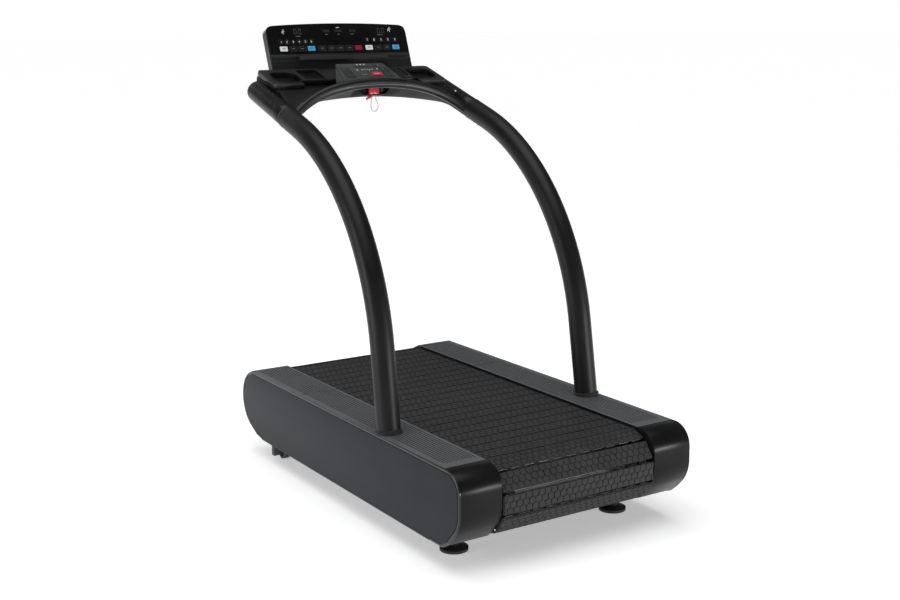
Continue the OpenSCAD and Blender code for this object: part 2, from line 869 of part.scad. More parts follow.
module display_rear() {
    color("#1c1c1e") difference() {
        at_board() difference() {
            translate([0, 0, -board_t - shell_t]) linear_extrude(shell_t)
                board_outline(board_w - 4, -30, board_h - 3, 26);
            translate([0, 0, -board_t - shell_t + 3]) linear_extrude(shell_t)
                round_rect(board_w - 12, 14, board_h - 8, 22);
        }
        translate([0, 0, housing_top_z - 100]) cube([1200, 3000, 200], center = true);
    }
}

key_colours = ["white", "black", "black", "deepskyblue", "black", "black", "black", "black", "crimson",
    "white", "black", "black", "deepskyblue"];
key_xs = [-231, -193, -157, -120, -76, -37, -1, 37, 74, 119, 158, 196, 234];

module display_keys() {
    for (i = [0:12]) color(key_colours[i]) at_board() translate([key_xs[i] - 15, 66, 0]) cube([30, 18, 1]);
    color("dimgray") at_board() {
        for (i = [0:5]) translate([-238 + i * 24.5, 101, 0]) cylinder(r = 9, h = 1);
        for (i = [0:4]) translate([116 + i * 30, 105, 0]) cylinder(r = 9, h = 1);
    }
}

// Section of the pad at y: a flat top and an underside that lies on the housing
function pad_section(y) = let (w = pad_half(y), low = pad_bed_z(y) + bed_gap)
    [[-w, y, pad_top_z(y)], [w, y, pad_top_z(y)], [w, y, low], [-w, y, low]];

module rocker_pin(x, r, l) {
    at_pad() translate([x, rocker_v, rocker_axis]) tube_x(r, -l / 2, l / 2);
}

module pad_pocket(x, v, w, l, depth) {
    at_pad() translate([x - w / 2, v - l / 2, -depth]) cube([w, l, depth + 3]);
}

module control_pad() {
    color("#4a4c4d") difference() {
        loft([for (y = [pad_y0, pad_crest, pad_y1]) pad_section(y)]);
        for (x = [speed_x, incline_x]) {
            pad_pocket(x, rocker_v, rocker_w + 0.6, rocker_l + 1.6, 11);
            rocker_pin(x, 2.05, rocker_w + 6.2);
        }
        pad_pocket(stop_x, stop_v, 42.6, 22.6, 9);
    }
}

module rocker(x) {
    at_pad() translate([x, rocker_v, 0]) rotate([90, 0, 90]) translate([0, 0, -rocker_w / 2])
        linear_extrude(rocker_w)
            polygon([[-rocker_l / 2, 2], [0, 0.8], [rocker_l / 2, 2], [rocker_l / 2, -4], [4, -9], [-4, -9],
                [-rocker_l / 2, -4]]);
    rocker_pin(x, 2, rocker_w + 6);
}

module speed_rocker() {
    color("#2b2c2e") rocker(speed_x);
}

module incline_rocker() {
    color("#2b2c2e") rocker(incline_x);
}

module stop_key() {
    color("crimson") at_pad() translate([stop_x - 21, stop_v - 11, -6]) cube([42, 22, 8]);
}

module safety_key() {
    color("crimson") {
        translate([0, bay_y - 0.3, key_z]) rotate([90, 0, 0]) linear_extrude(13) round_rect(42, -12, 12, 7);
        block(-8, 8, bay_y - 0.3, bay_y + 20, key_z - 4, key_z + 4);
    }
}

// Round cord through the route, its rings square to the route
module lanyard() {
    n = len(cord_route);
    sections = [for (i = [0:n - 1]) let (
        a = cord_route[max(i - 1, 0)],
        b = cord_route[min(i + 1, n - 1)],
        t = (b - a) / norm(b - a),
        c = cord_route[i])
        [for (k = [0:7]) let (s = cord_d / 2 * cos(k * 45), y = cord_d / 2 * sin(k * 45))
            [c[0] - s * t[1], cord_y + y, c[1] + s * t[0]]]];
    color("gainsboro") loft(sections);
}

module lanyard_clip() {
    color("crimson") translate([-7, cord_y, 1309.6]) rotate([0, 62, 0]) translate([0, 0, -26])
        linear_extrude(26) square([8, 7], center = true);
}

rear_foot_pads();
levelling_studs();
left_frame_rail();
right_frame_rail();
cross_members();
roller_tracks();
support_rollers();
slat_beams();
slat_treads();
carrier_belts();
frame_bearings();
front_shaft();
front_pulleys();
driven_pulley();
rear_shaft();
rear_pulleys();
motor_housing();
motor_rotor();
motor_pulley();
drive_belt();
motor_controller();
lift_motor();
lift_shaft();
lift_pinions();
lift_guides();
left_lift_leg();
right_lift_leg();
left_wheel();
right_wheel();
left_side_panel();
right_side_panel();
left_top_cover();
right_top_cover();
front_covers();
left_rear_cap();
right_rear_cap();
left_front_cap();
right_front_cap();
power_inlet();
power_switch();
rail_mounts();
rail_collars();
left_handrail();
right_handrail();
grip_castings();
rail_bolts();
handlebar();
console_housing();
console_tray();
cup_inserts();
display_front();
display_rear();
control_pad();
speed_rocker();
incline_rocker();
stop_key();
display_keys();
safety_key();
lanyard();
lanyard_clip();
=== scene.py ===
"""Looks of a slat-belt treadmill: detailed meshes, materials, floor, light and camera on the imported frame."""
import json
import math

import bmesh
import bpy
from mathutils import Matrix, Vector


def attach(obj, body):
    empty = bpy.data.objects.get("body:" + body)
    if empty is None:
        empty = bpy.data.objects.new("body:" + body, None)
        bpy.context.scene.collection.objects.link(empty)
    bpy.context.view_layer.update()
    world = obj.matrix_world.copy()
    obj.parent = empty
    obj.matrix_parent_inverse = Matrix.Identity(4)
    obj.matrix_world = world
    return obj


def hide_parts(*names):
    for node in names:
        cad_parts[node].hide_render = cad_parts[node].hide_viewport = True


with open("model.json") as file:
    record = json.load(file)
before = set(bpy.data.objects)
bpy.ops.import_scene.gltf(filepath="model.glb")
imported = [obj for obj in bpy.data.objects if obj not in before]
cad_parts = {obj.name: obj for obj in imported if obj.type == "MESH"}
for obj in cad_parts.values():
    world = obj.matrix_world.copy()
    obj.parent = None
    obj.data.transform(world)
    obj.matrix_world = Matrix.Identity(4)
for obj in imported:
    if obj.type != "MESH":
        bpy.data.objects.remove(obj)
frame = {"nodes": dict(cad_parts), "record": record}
scene = bpy.context.scene
MM = 0.001
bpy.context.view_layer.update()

# Base, in metres
HALF_W = 0.430
BOTTOM_Z = 0.075
NOSE_Y = 0.624
NOSE_Z = 0.207
NOSE_R = 0.112
TAIL_Y = -0.650
CORNER_Y = -0.694
CORNER_Z = 0.251
CORNER_R = 0.068
FIELD_INSET = 0.0112
SKIRT_REAR_Y = -0.658
SKIRT_FRONT_Y = 0.578
GAP_HALF = 0.2835
PANEL_T = 0.003
COVER_Z = 0.319
CREASE_Y = -0.680
FLAT_FRONT_Y = 0.647
SEAM_Y = 0.249
AXLE_Z = 0.200
REAR_AXLE_Y = -0.653
SLAT_PITCH = 0.0608
SLAT_W = 0.559
TURN_SLATS = 10
RUN_SLATS = 21
BELT_R = SLAT_PITCH * TURN_SLATS / (2 * math.pi)
FRONT_AXLE_Y = REAR_AXLE_Y + RUN_SLATS * SLAT_PITCH
TREAD_TOP = 0.112
GROOVES = 11
GROOVE_PITCH = 0.0105
GROOVE_W = 0.0034

# Handrails
RAIL_X = 0.386
RAIL_Y = -0.291
RAIL_R = 0.038
RAIL_LEAN = 8
RAIL_END = 72
RAIL_RISE = 0.256
RAIL_BEND = 0.800
RAIL_TAIL = 0.097
RAIL_ROOT = 0.185
RAIL_INWARD = 0.8
GRIP_R = 0.037
GRIP_L = 0.280

# Console planes: the tray's rear edge, the pad's front edge and the housing's back and top
CREST_Y = 0.670
CREST_Z = 1.404
PAD_Y = 0.453
PAD_Z = 1.368
BACK_Y = 0.706
TOP_Z = 1.386
LIP_Y = 0.450
LIP_Z = 1.3135
DISPLAY_REAR_Y = 0.765
# The lip dips round the safety key between these distances from the middle
DIP_IN = 0.042
DIP_OUT = 0.071
TRAY_SLOPE = 18
PAD_SLOPE = 27
BOARD_LEAN = 70
BOARD_W = 0.580
BOARD_H = 0.171
TRAY_T = 0.016
CUP_X = 0.278
CUP_V = -0.084
PAD_Y0 = 0.446
PAD_Y1 = 0.5575
PAD_W0 = 0.118
PAD_W1 = 0.096
ROCKER_V = 0.050
SPEED_X = 0.080
INCLINE_X = -0.075
STOP_X = 0.033
STOP_V = 0.0365
KEY_V = 0.066
KEY_X = [-0.231, -0.193, -0.157, -0.120, -0.076, -0.037, -0.001, 0.037, 0.074, 0.119, 0.158, 0.196, 0.234]
KEY_PAINT = "white black black blue black black black black red white black black blue".split()
NUMBER_KEYS = ([(-0.238 + i * 0.0245, 0.101) for i in range(6)] + [(0.116 + i * 0.030, 0.105) for i in range(5)])
CONSOLE_HALF = 0.345
END_R = 0.022
PRINT_Z = (-0.0004, 0.0004)
BAY_Y = 0.463
KEY_Z = 1.326


def rot_x(degrees):
    return Matrix.Rotation(math.radians(degrees), 4, "X")


def at(x, y, z):
    return Matrix.Translation((x, y, z))


BOARD = at(0, CREST_Y, CREST_Z) @ rot_x(BOARD_LEAN)
TRAY = at(0, CREST_Y, CREST_Z) @ rot_x(TRAY_SLOPE)
PAD = at(0, PAD_Y, PAD_Z) @ rot_x(PAD_SLOPE)
# Local x, y and z of a side profile are the row's Y, Z and X
SIDE = Matrix(((0, 0, 1, 0), (1, 0, 0, 0), (0, 1, 0, 0), (0, 0, 0, 1)))
# Local x and y of a face that looks at the user are the row's X and Z
FACE_Y = at(0, BAY_Y, 0) @ rot_x(90)
KEY_FACE = at(0, BAY_Y, KEY_Z) @ rot_x(90)


def add_object(name, data):
    obj = bpy.data.objects.new(name, data)
    scene.collection.objects.link(obj)
    return obj


# ---- camera and light ----
def add_camera():
    cam = bpy.data.cameras.new("camera")
    cam.sensor_width = 36
    cam.lens = 53.0
    obj = add_object("camera", cam)
    yaw, pitch, roll = math.radians(32.269), math.radians(11.577), math.radians(-0.573)
    turn = Matrix.Rotation(-yaw, 4, "Z") @ Matrix.Rotation(math.pi / 2 - pitch, 4, "X")
    obj.matrix_world = at(-2.32376, -3.72181, 1.54084) @ turn @ Matrix.Rotation(roll, 4, "Z")
    scene.camera = obj


def add_area(name, place, aim, size, power, tint=(1, 1, 1)):
    light = bpy.data.lights.new(name, "AREA")
    light.shape = "RECTANGLE"
    light.size, light.size_y = size
    light.energy = power
    light.color = tint
    obj = add_object(name, light)
    obj.location = place
    obj.rotation_euler = (Vector(aim) - Vector(place)).to_track_quat("-Z", "Y").to_euler()


def add_sun(name, direction, strength, angle):
    light = bpy.data.lights.new(name, "SUN")
    light.energy = strength
    light.angle = math.radians(angle)
    add_object(name, light).rotation_euler = Vector(direction).to_track_quat("-Z", "Y").to_euler()


def new_ramp(nodes, *stops):
    """Colour ramp with its two stops, each a position and a colour."""
    ramp = nodes.new("ShaderNodeValToRGB")
    for element, (position, color) in zip(ramp.color_ramp.elements, stops):
        element.position = position
        element.color = (*color, 1)
    return ramp


def add_world():
    """White along the horizon, dark grey overhead."""
    world = bpy.data.worlds.new("studio")
    world.use_nodes = True
    nodes, link = world.node_tree.nodes, world.node_tree.links.new
    place = nodes.new("ShaderNodeTexCoord")
    split = nodes.new("ShaderNodeSeparateXYZ")
    ramp = new_ramp(nodes, (0.03, (1, 1, 1)), (0.14, (0.14, 0.14, 0.145)))
    link(place.outputs["Generated"], split.inputs["Vector"])
    link(split.outputs["Z"], ramp.inputs["Fac"])
    link(ramp.outputs["Color"], nodes["Background"].inputs["Color"])
    scene.world = world


def add_studio():
    add_sun("overhead", (0.10, 0.10, -1), 1.8, 60)
    add_area("back_softbox", (-0.4, 4.8, 3.0), (0, 0, 0.8), (3.2, 2.4), 45)
    add_area("left_softbox", (-4.2, 0.3, 1.5), (0, 0, 0.9), (1.1, 2.8), 60, (0.95, 0.95, 1.0))
    add_area("low_softbox", (2.3, -4.4, 0.1), (0.1, -0.6, 0.2), (2.0, 0.8), 130)
    add_world()
    scene.view_settings.view_transform = "Standard"


add_camera()
add_studio()


# ---- materials ----
def set_inputs(node, values):
    for key, value in values.items():
        node.inputs[key].default_value = value


def new_node(nodes, kind, values):
    node = nodes.new("ShaderNode" + kind)
    set_inputs(node, values)
    return node


def material(name, color, rough, metal=0.0, grain=(900, 0.15), mottle=(9, 0.25), wear=0.0, coat=0.0, sheen=0.0,
             stretch=(1, 1, 1), flecks=0.0, spec=0.12):
    """Moulded, painted or turned surface: fine grain bump, slow colour and gloss variation, paler worn edges."""
    mat = bpy.data.materials.new(name)
    mat.use_nodes = True
    nodes, link = mat.node_tree.nodes, mat.node_tree.links.new
    bsdf = nodes["Principled BSDF"]
    set_inputs(bsdf, {"Metallic": metal, "Specular IOR Level": spec, "Coat Weight": coat, "Coat Roughness": 0.08,
                      "Sheen Weight": sheen})
    place = nodes.new("ShaderNodeTexCoord")
    scale = new_node(nodes, "Mapping", {"Scale": stretch})
    link(place.outputs["Object"], scale.inputs["Vector"])

    def noise(frequency, detail):
        tex = new_node(nodes, "TexNoise", {"Scale": frequency, "Detail": detail})
        link(scale.outputs["Vector"], tex.inputs["Vector"])
        return tex

    slow = noise(mottle[0], 4)
    fine = noise(grain[0], 2)
    dark = [c * (1 - mottle[1]) for c in color]
    pale = [min(1, c * (1 + mottle[1]) + 0.002) for c in color]
    shade = new_ramp(nodes, (0.32, dark), (0.68, pale))
    link(slow.outputs["Fac"], shade.inputs["Fac"])
    tone = shade.outputs["Color"]
    if flecks:
        spots = noise(grain[0] * 1.7, 0)
        pick = new_node(nodes, "MapRange", {"From Min": 0.66, "From Max": 0.72, "To Max": flecks})
        link(spots.outputs["Fac"], pick.inputs["Value"])
        tone = mixed(nodes, link, pick.outputs["Result"], tone, [min(1, c * 2.2 + 0.03) for c in color])
    if wear:
        edge = nodes.new("ShaderNodeNewGeometry")
        pick = new_node(nodes, "MapRange", {"From Min": 0.515, "From Max": 0.60, "To Max": wear})
        link(edge.outputs["Pointiness"], pick.inputs["Value"])
        tone = mixed(nodes, link, pick.outputs["Result"], tone, [min(1, c * 1.8 + 0.05) for c in color])
    link(tone, bsdf.inputs["Base Color"])
    gloss = new_node(nodes, "MapRange", {"To Min": max(0.02, rough - 0.06), "To Max": min(1, rough + 0.08)})
    link(slow.outputs["Fac"], gloss.inputs["Value"])
    link(gloss.outputs["Result"], bsdf.inputs["Roughness"])
    bump = new_node(nodes, "Bump", {"Strength": grain[1], "Distance": 0.0002})
    link(fine.outputs["Fac"], bump.inputs["Height"])
    link(bump.outputs["Normal"], bsdf.inputs["Normal"])
    return mat


def mixed(nodes, link, factor, under, over):
    mix = nodes.new("ShaderNodeMix")
    mix.data_type = "RGBA"
    link(factor, mix.inputs["Factor"])
    link(under, mix.inputs["A"])
    mix.inputs["B"].default_value = (*over, 1)
    return mix.outputs["Result"]


MATERIALS = {name: material(name, color, rough, **more) for name, color, rough, more in (
    ("foot_rubber", (0.02, 0.02, 0.021), 0.62, dict(wear=0.3)),
    ("frame_steel", (0.05, 0.052, 0.055), 0.45, dict(grain=(700, 0.3), wear=0.3)),
    ("bright_steel", (0.55, 0.55, 0.56), 0.25, dict(metal=1, grain=(400, 0.1), stretch=(0.1, 1, 1))),
    ("slat_alloy", (0.50, 0.50, 0.49), 0.34, dict(metal=1, stretch=(0.08, 1, 1), mottle=(30, 0.15))),
    ("tread_rubber", (0.0150, 0.0153, 0.0148), 0.55,
     dict(grain=(1400, 0.5), mottle=(16, 0.35), wear=0.35, flecks=0.25)),
    ("belt_rubber", (0.02, 0.02, 0.02), 0.7, {}),
    ("roller_nylon", (0.6, 0.6, 0.57), 0.45, {}),
    ("pulley_alloy", (0.42, 0.42, 0.43), 0.4, dict(metal=1, grain=(500, 0.3))),
    ("motor_paint", (0.02, 0.02, 0.022), 0.3, dict(coat=0.3, wear=0.3)),
    ("electronics_case", (0.25, 0.26, 0.27), 0.4, dict(metal=0.8)),
    ("wheel_polyurethane", (0.025, 0.025, 0.027), 0.45, dict(wear=0.3)),
    ("panel_slate", (0.0185, 0.0198, 0.0235), 0.50, dict(grain=(1500, 0.25), mottle=(5, 0.12), wear=0.5)),
    ("cover_grey", (0.058, 0.060, 0.064), 0.42, dict(grain=(1600, 0.3), mottle=(7, 0.15), wear=0.6)),
    ("cap_black", (0.003, 0.003, 0.0034), 0.27,
     dict(grain=(1500, 0.10), mottle=(6, 0.2), wear=0.15, spec=0.16)),
    # darker, duller copy of console_black for the skirt under the bar: painted shade
    ("shaded_skirt_black", (0.0040, 0.0042, 0.0042), 0.48,
     dict(grain=(1700, 0.3), mottle=(9, 0.2), wear=0.4, spec=0.07)),
    ("rim_black", (0.003, 0.003, 0.0034), 0.20,
     dict(grain=(1500, 0.1), mottle=(6, 0.2), wear=0.3, coat=0.35, spec=0.30)),
    ("inlet_black", (0.012, 0.012, 0.012), 0.4, {}),
    ("rail_paint", (0.0026, 0.0026, 0.0030), 0.42, dict(grain=(1100, 0.15), mottle=(8, 0.2), spec=0.26)),
    ("collar_black", (0.012, 0.012, 0.012), 0.5, dict(wear=0.3)),
    ("grip_black", (0.0035, 0.0035, 0.004), 0.26,
     dict(grain=(1500, 0.35), mottle=(10, 0.2), wear=0.3, spec=0.22)),
    ("console_black", (0.0085, 0.0088, 0.0088), 0.30,
     dict(grain=(1700, 0.3), mottle=(9, 0.2), wear=0.4, spec=0.30)),
    ("tray_black", (0.0120, 0.0126, 0.0124), 0.34,
     dict(grain=(1900, 0.45), mottle=(12, 0.2), wear=0.5, spec=0.35)),
    ("cup_black", (0.006, 0.006, 0.0063), 0.40, dict(grain=(1500, 0.4), spec=0.2)),
    ("display_gloss", (0.0030, 0.0031, 0.0035), 0.14, dict(grain=(300, 0.02), coat=0.25)),
    ("pad_grey", (0.052, 0.054, 0.053), 0.42,
     dict(grain=(2200, 0.35), mottle=(18, 0.15), wear=0.8, spec=0.2)),
    ("rocker_black", (0.02, 0.021, 0.022), 0.45, dict(grain=(2000, 0.4), wear=0.6)),
    ("red_plastic", (0.50, 0.012, 0.03), 0.32, dict(grain=(1200, 0.15), mottle=(25, 0.15), coat=0.3)),
    ("cord_nylon", (0.55, 0.52, 0.47), 0.75, dict(grain=(2500, 0.9), sheen=0.4)),
    ("key_white", (0.72, 0.74, 0.70), 0.35, dict(grain=(1500, 0.1), mottle=(60, 0.06))),
    ("key_blue", (0.07, 0.36, 0.62), 0.35, dict(grain=(1500, 0.1), mottle=(60, 0.08))),
    ("key_red", (0.26, 0.012, 0.035), 0.35, dict(grain=(1500, 0.1), mottle=(60, 0.1))),
    ("key_black", (0.0055, 0.0055, 0.006), 0.36, dict(grain=(1500, 0.1), wear=0.6, spec=0.08)),
    ("key_plastic", (0.012, 0.012, 0.013), 0.32, {}),
    ("stop_pink", (0.62, 0.03, 0.07), 0.35, dict(grain=(1500, 0.1), mottle=(60, 0.1))),
    ("print_white", (0.70, 0.70, 0.68), 0.5, dict(grain=(1500, 0.1), mottle=(90, 0.12))),
    ("print_grey", (0.20, 0.20, 0.20), 0.5, dict(grain=(1500, 0.1), mottle=(90, 0.2))),
    ("print_dim", (0.055, 0.056, 0.058), 0.4, dict(grain=(1500, 0.1), mottle=(90, 0.2))),
    ("print_yellow", (0.40, 0.30, 0.05), 0.5, dict(grain=(1500, 0.1), mottle=(90, 0.15))),
)}


def floor_material():
    mat = material("floor_paper", (0.86, 0.86, 0.86), 0.75, grain=(60, 0.02), mottle=(2, 0.01))
    set_inputs(mat.node_tree.nodes["Principled BSDF"], {"Emission Color": (1, 1, 1, 1), "Emission Strength": 0.40})
    return mat


# ---- mesh helpers ----
def finish(obj, slot, *nodes, body="chassis", mat=None, smooth=True, angle=32):
    """Paints the piece, shades it and puts it on its body."""
    obj.data.materials.clear()
    obj.data.materials.append(MATERIALS[mat or slot])
    if smooth:
        obj.data.shade_smooth()
        sharpen(obj.data, angle)
    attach(obj, body)
    if nodes:
        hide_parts(*nodes)
    return obj


def sharpen(mesh, angle):
    bm = bmesh.new()
    bm.from_mesh(mesh)
    limit = math.radians(angle)
    for e in bm.edges:
        e.smooth = len(e.link_faces) == 2 and e.calc_face_angle(0) < limit
    bm.to_mesh(mesh)
    bm.free()


def tidy_mesh(mesh, merge=True):
    """Joins doubled points and turns all faces outward."""
    bm = bmesh.new()
    bm.from_mesh(mesh)
    if merge:
        bmesh.ops.remove_doubles(bm, verts=bm.verts, dist=1e-6)
    bmesh.ops.recalc_face_normals(bm, faces=bm.faces)
    bm.to_mesh(mesh)
    bm.free()


def mesh_object(name, verts, faces, matrix=None):
    mesh = bpy.data.meshes.new(name)
    mesh.from_pydata([tuple(v) for v in verts], [], faces)
    if matrix:
        mesh.transform(matrix)
    tidy_mesh(mesh)
    return add_object(name, mesh)


def skin(sections, caps=True):
    """Vertices and faces of a surface over sections of equal point counts."""
    n, m = len(sections[0]), len(sections)
    verts = [p for s in sections for p in s]
    faces = [(j * n + i, j * n + (i + 1) % n, (j + 1) * n + (i + 1) % n, (j + 1) * n + i)
             for j in range(m - 1) for i in range(n)]
    if caps:
        faces += [tuple(range(n)), tuple(range((m - 1) * n, m * n))]
    return verts, faces


def loft(name, sections, matrix=None, caps=True):
    return mesh_object(name, *skin(sections, caps=caps), matrix)


def plate(name, outline, low, high, matrix, bevel=0.0, holes=(), steps=2):
    """Flat plate with bevelled rims, from low to high along local z; the outline and holes are lists of (x, y)."""
    curve = bpy.data.curves.new(name, "CURVE")
    curve.dimensions = "2D"
    curve.fill_mode = "BOTH"
    curve.extrude = (high - low) / 2 - bevel
    curve.bevel_depth = bevel
    curve.bevel_resolution = steps
    curve.offset = -bevel
    for loop in (outline, *holes):
        loop = [p for i, p in enumerate(loop) if math.dist(p, loop[i - 1]) > 1e-5]
        spline = curve.splines.new("POLY")
        spline.points.add(len(loop) - 1)
        for p, (x, y) in zip(spline.points, loop):
            p.co = (x, y, 0, 1)
        spline.use_cyclic_u = True
    temp = add_object(name, curve)
    bpy.context.view_layer.update()
    mesh = bpy.data.meshes.new_from_object(temp.evaluated_get(bpy.context.evaluated_depsgraph_get()))
    bpy.data.objects.remove(temp)
    mesh.transform(matrix @ at(0, 0, (high + low) / 2))
    tidy_mesh(mesh)
    return add_object(name, mesh)


def join(name, *objs):
    bm = bmesh.new()
    for o in objs:
        bm.from_mesh(o.data)
        bpy.data.objects.remove(o)
    mesh = bpy.data.meshes.new(name)
    bm.to_mesh(mesh)
    bm.free()
    return add_object(name, mesh)


def mirrored(name, obj):
    """The same piece on the other side of the machine."""
    mesh = obj.data.copy()
    mesh.transform(Matrix.Diagonal((-1, 1, 1, 1)))
    mesh.flip_normals()
    return add_object(name, mesh)


def circle(cx, cy, r, n=32):
    return [(cx + r * math.cos(2 * math.pi * i / n), cy + r * math.sin(2 * math.pi * i / n)) for i in range(n)]


def arc(cx, cy, r, start, end, n):
    angles = [math.radians(start + (end - start) * i / n) for i in range(n + 1)]
    return [(cx + r * math.cos(a), cy + r * math.sin(a)) for a in angles]


def rounded(corners, radius, steps=6):
    """Polygon with each corner rounded; radius is one number or one for each corner."""
    out = []
    n = len(corners)
    for i, c in enumerate(corners):
        r = radius[i] if isinstance(radius, (list, tuple)) else radius
        c = Vector(c)
        a, b = Vector(corners[i - 1]) - c, Vector(corners[(i + 1) % n]) - c
        half = a.angle(b) / 2
        reach = min(r / math.tan(half), a.length * 0.49, b.length * 0.49)
        p0, p1 = c + a.normalized() * reach, c + b.normalized() * reach
        for k in range(steps + 1):
            t = k / steps
            q = p0 * (1 - t) ** 2 + c * 2 * t * (1 - t) + p1 * t ** 2
            out.append((q.x, q.y))
    return out


def box_outline(x0, x1, y0, y1, r):
    return rounded([(x0, y0), (x1, y0), (x1, y1), (x0, y1)], r)


def sweep(points, radius, n=48):
    """Sections of a round tube along points; radius is one number or one for each point."""
    pts = [Vector(p) for p in points]
    normal = None
    out = []
    for i, p in enumerate(pts):
        t = (pts[min(i + 1, len(pts) - 1)] - pts[max(i - 1, 0)]).normalized()
        if normal is None:
            normal = t.orthogonal().normalized()
        normal = (normal - t * normal.dot(t)).normalized()
        side = t.cross(normal)
        r = radius[i] if isinstance(radius, (list, tuple)) else radius
        out.append([p + (normal * math.cos(a) + side * math.sin(a)) * r
                    for a in (2 * math.pi * k / n for k in range(n))])
    return out


def spin(name, profile, matrix, n=48):
    """Turned solid round local z from (radius, z) points, closed at its ends where the radius is 0."""
    return loft(name, [[(x, y, z) for x, y in circle(0, 0, r, n)] for r, z in profile], matrix, caps=False)


def prism(out, outline, low, high):
    """Adds an extruded outline to (verts, faces)."""
    verts, faces = out
    base, n = len(verts), len(outline)
    verts += [(x, y, low) for x, y in outline] + [(x, y, high) for x, y in outline]
    faces += [(base + i, base + (i + 1) % n, base + n + (i + 1) % n, base + n + i) for i in range(n)]
    faces += [tuple(base + i for i in reversed(range(n))), tuple(base + n + i for i in range(n))]


def band(out, outer, inner, low, high):
    """Adds a flat closed band between two outlines of equal point counts to (verts, faces)."""
    verts, faces = out
    base, n = len(verts), len(outer)
    for loop, z in ((outer, low), (outer, high), (inner, high), (inner, low)):
        verts += [(x, y, z) for x, y in loop]
    for j in range(4):
        a, b = base + j * n, base + (j + 1) % 4 * n
        faces += [(a + i, a + (i + 1) % n, b + (i + 1) % n, b + i) for i in range(n)]


def frame_band(out, x0, x1, y0, y1, r, low, high):
    """Adds a 0.7 mm line round a box with rounded corners to (verts, faces)."""
    w = 0.0007
    band(out, box_outline(x0, x1, y0, y1, r), box_outline(x0 + w, x1 - w, y0 + w, y1 - w, r - 0.0005), low, high)


# ---- safety cord ----
CORD_Y = 0.454
CORD_D = 0.0025
# Middle line from the key round its loop to the clip, as (x, z) in millimetres
CORD_ROUTE = [(3, 1313.9), (4, 1308), (6, 1302), (9, 1296), (12, 1289), (15, 1282), (17, 1275), (17, 1268),
              (15, 1262), (10, 1257), (4, 1254), (-2, 1254), (-7, 1257), (-10, 1262), (-12, 1269), (-12, 1277),
              (-11, 1285), (-10, 1292), (-9, 1298), (-8, 1304)]


def lanyard():
    """Limp cord from the safety key round a loop to its red clip."""
    path = [Vector((x * MM, CORD_Y, z * MM)) for x, z in CORD_ROUTE]
    obj = loft("cord", sweep(path, CORD_D / 2, 16))
    finish(obj, "cord_nylon", "lanyard", body="safety_plug", angle=60)
    clip_frame = at(-0.007, CORD_Y, 1.3096) @ Matrix.Rotation(math.radians(62), 4, "Y")
    jaw = plate("jaw", box_outline(-0.004, 0.004, -0.0035, 0.0035, 0.0012), -0.026, 0, clip_frame, 0.0008)
    finish(jaw, "red_plastic", "lanyard_clip", body="safety_plug", angle=30)


# ---- base ----
def side_outline(inset=0.0, steps=28):
    """Side outline of the base, as (y, z), from the flat top's front end round to its rear end."""
    front = arc(NOSE_Y, NOSE_Z, NOSE_R - inset, 78, -62, steps)
    rear_low = arc(TAIL_Y, NOSE_Z, NOSE_R - inset, 226, 180, steps // 2)
    corner = arc(CORNER_Y, CORNER_Z, CORNER_R - inset, 180, 90, steps // 2)
    low = BOTTOM_Z + inset
    bottom = [(0.621, 0.082 + inset), (SKIRT_FRONT_Y, low), (SKIRT_REAR_Y, low), (-0.672, 0.079 + inset),
              (-0.686, 0.087 + inset), (-0.711 + inset / 2, 0.108 + inset)]
    return [(FLAT_FRONT_Y, COVER_Z - inset)] + front + bottom + rear_low + corner


def side_panel(side):
    """Dark rim with a rounded outer edge, and a slate field that sits in it behind a thin groove."""
    word = "left" if side < 0 else "right"
    rim_x = HALF_W - 0.0004
    steps = [(0.0, HALF_W - PANEL_T + 0.0002), (0.0, rim_x - 0.0036), (0.0005, rim_x - 0.0018),
             (0.0018, rim_x - 0.0005), (0.0036, rim_x), (0.0078, rim_x), (0.0080, rim_x - 0.0022)]
    rings = [[(side * x, y, z) for y, z in side_outline(e)] for e, x in steps]
    rim = loft(word + "_side_rim", rings)
    finish(rim, "cap_black", mat="rim_black", angle=50)
    line = side_outline(FIELD_INSET)
    edge, drop = BOTTOM_Z + FIELD_INSET, BOTTOM_Z + 0.0007
    cut = line.index((SKIRT_REAR_Y, edge))
    line[cut - 1:cut + 1] = [(SKIRT_FRONT_Y, edge), (SKIRT_FRONT_Y - 0.004, drop), (-0.594, drop), (-0.598, edge),
                             (SKIRT_REAR_Y, edge)]
    low, high = sorted((side * (HALF_W - 0.0028), side * HALF_W))
    field = plate(word + "_side_field", line, low, high, SIDE, 0.0007)
    finish(field, "panel_slate", word + "_side_panel", angle=25)


def end_cap(side, rear):
    """Rounded black shell over one end of a side cover, with its closed inner cheek."""
    outer = side_outline(0.0006)
    inner = side_outline(0.0046)
    limit = CREASE_Y - 0.0006 if rear else FLAT_FRONT_Y + 0.0006
    keep = [i for i, p in enumerate(outer) if (p[0] < limit if rear else p[0] > limit)]
    if rear:
        outer_run = [outer[i] for i in keep] + [(limit, COVER_Z - 0.0006)]
        inner_run = [(limit, COVER_Z - 0.0046)] + [inner[i] for i in reversed(keep)]
    else:
        outer_run = [(limit, COVER_Z - 0.0010)] + [outer[i] for i in keep]
        inner_run = [inner[i] for i in reversed(keep)] + [(limit, COVER_Z - 0.0050)]
    axle_y = REAR_AXLE_Y if rear else FRONT_AXLE_Y
    low, high = GAP_HALF + 0.001, HALF_W - PANEL_T - 0.0004
    shell = plate("shell", outer_run + inner_run, low, high, SIDE, 0.0008)
    cheek = plate("cheek", outer_run, GAP_HALF, GAP_HALF + 0.004, SIDE, 0.0015, [circle(axle_y, AXLE_Z, 0.050, 40)])
    word = ("left" if side < 0 else "right") + ("_rear" if rear else "_front")
    name = word + "_end"
    obj = join(name, shell, cheek)
    if side < 0:
        left = mirrored(name, obj)
        bpy.data.objects.remove(obj)
        obj = left
        obj.name = name
    finish(obj, "cap_black", word + "_cap")


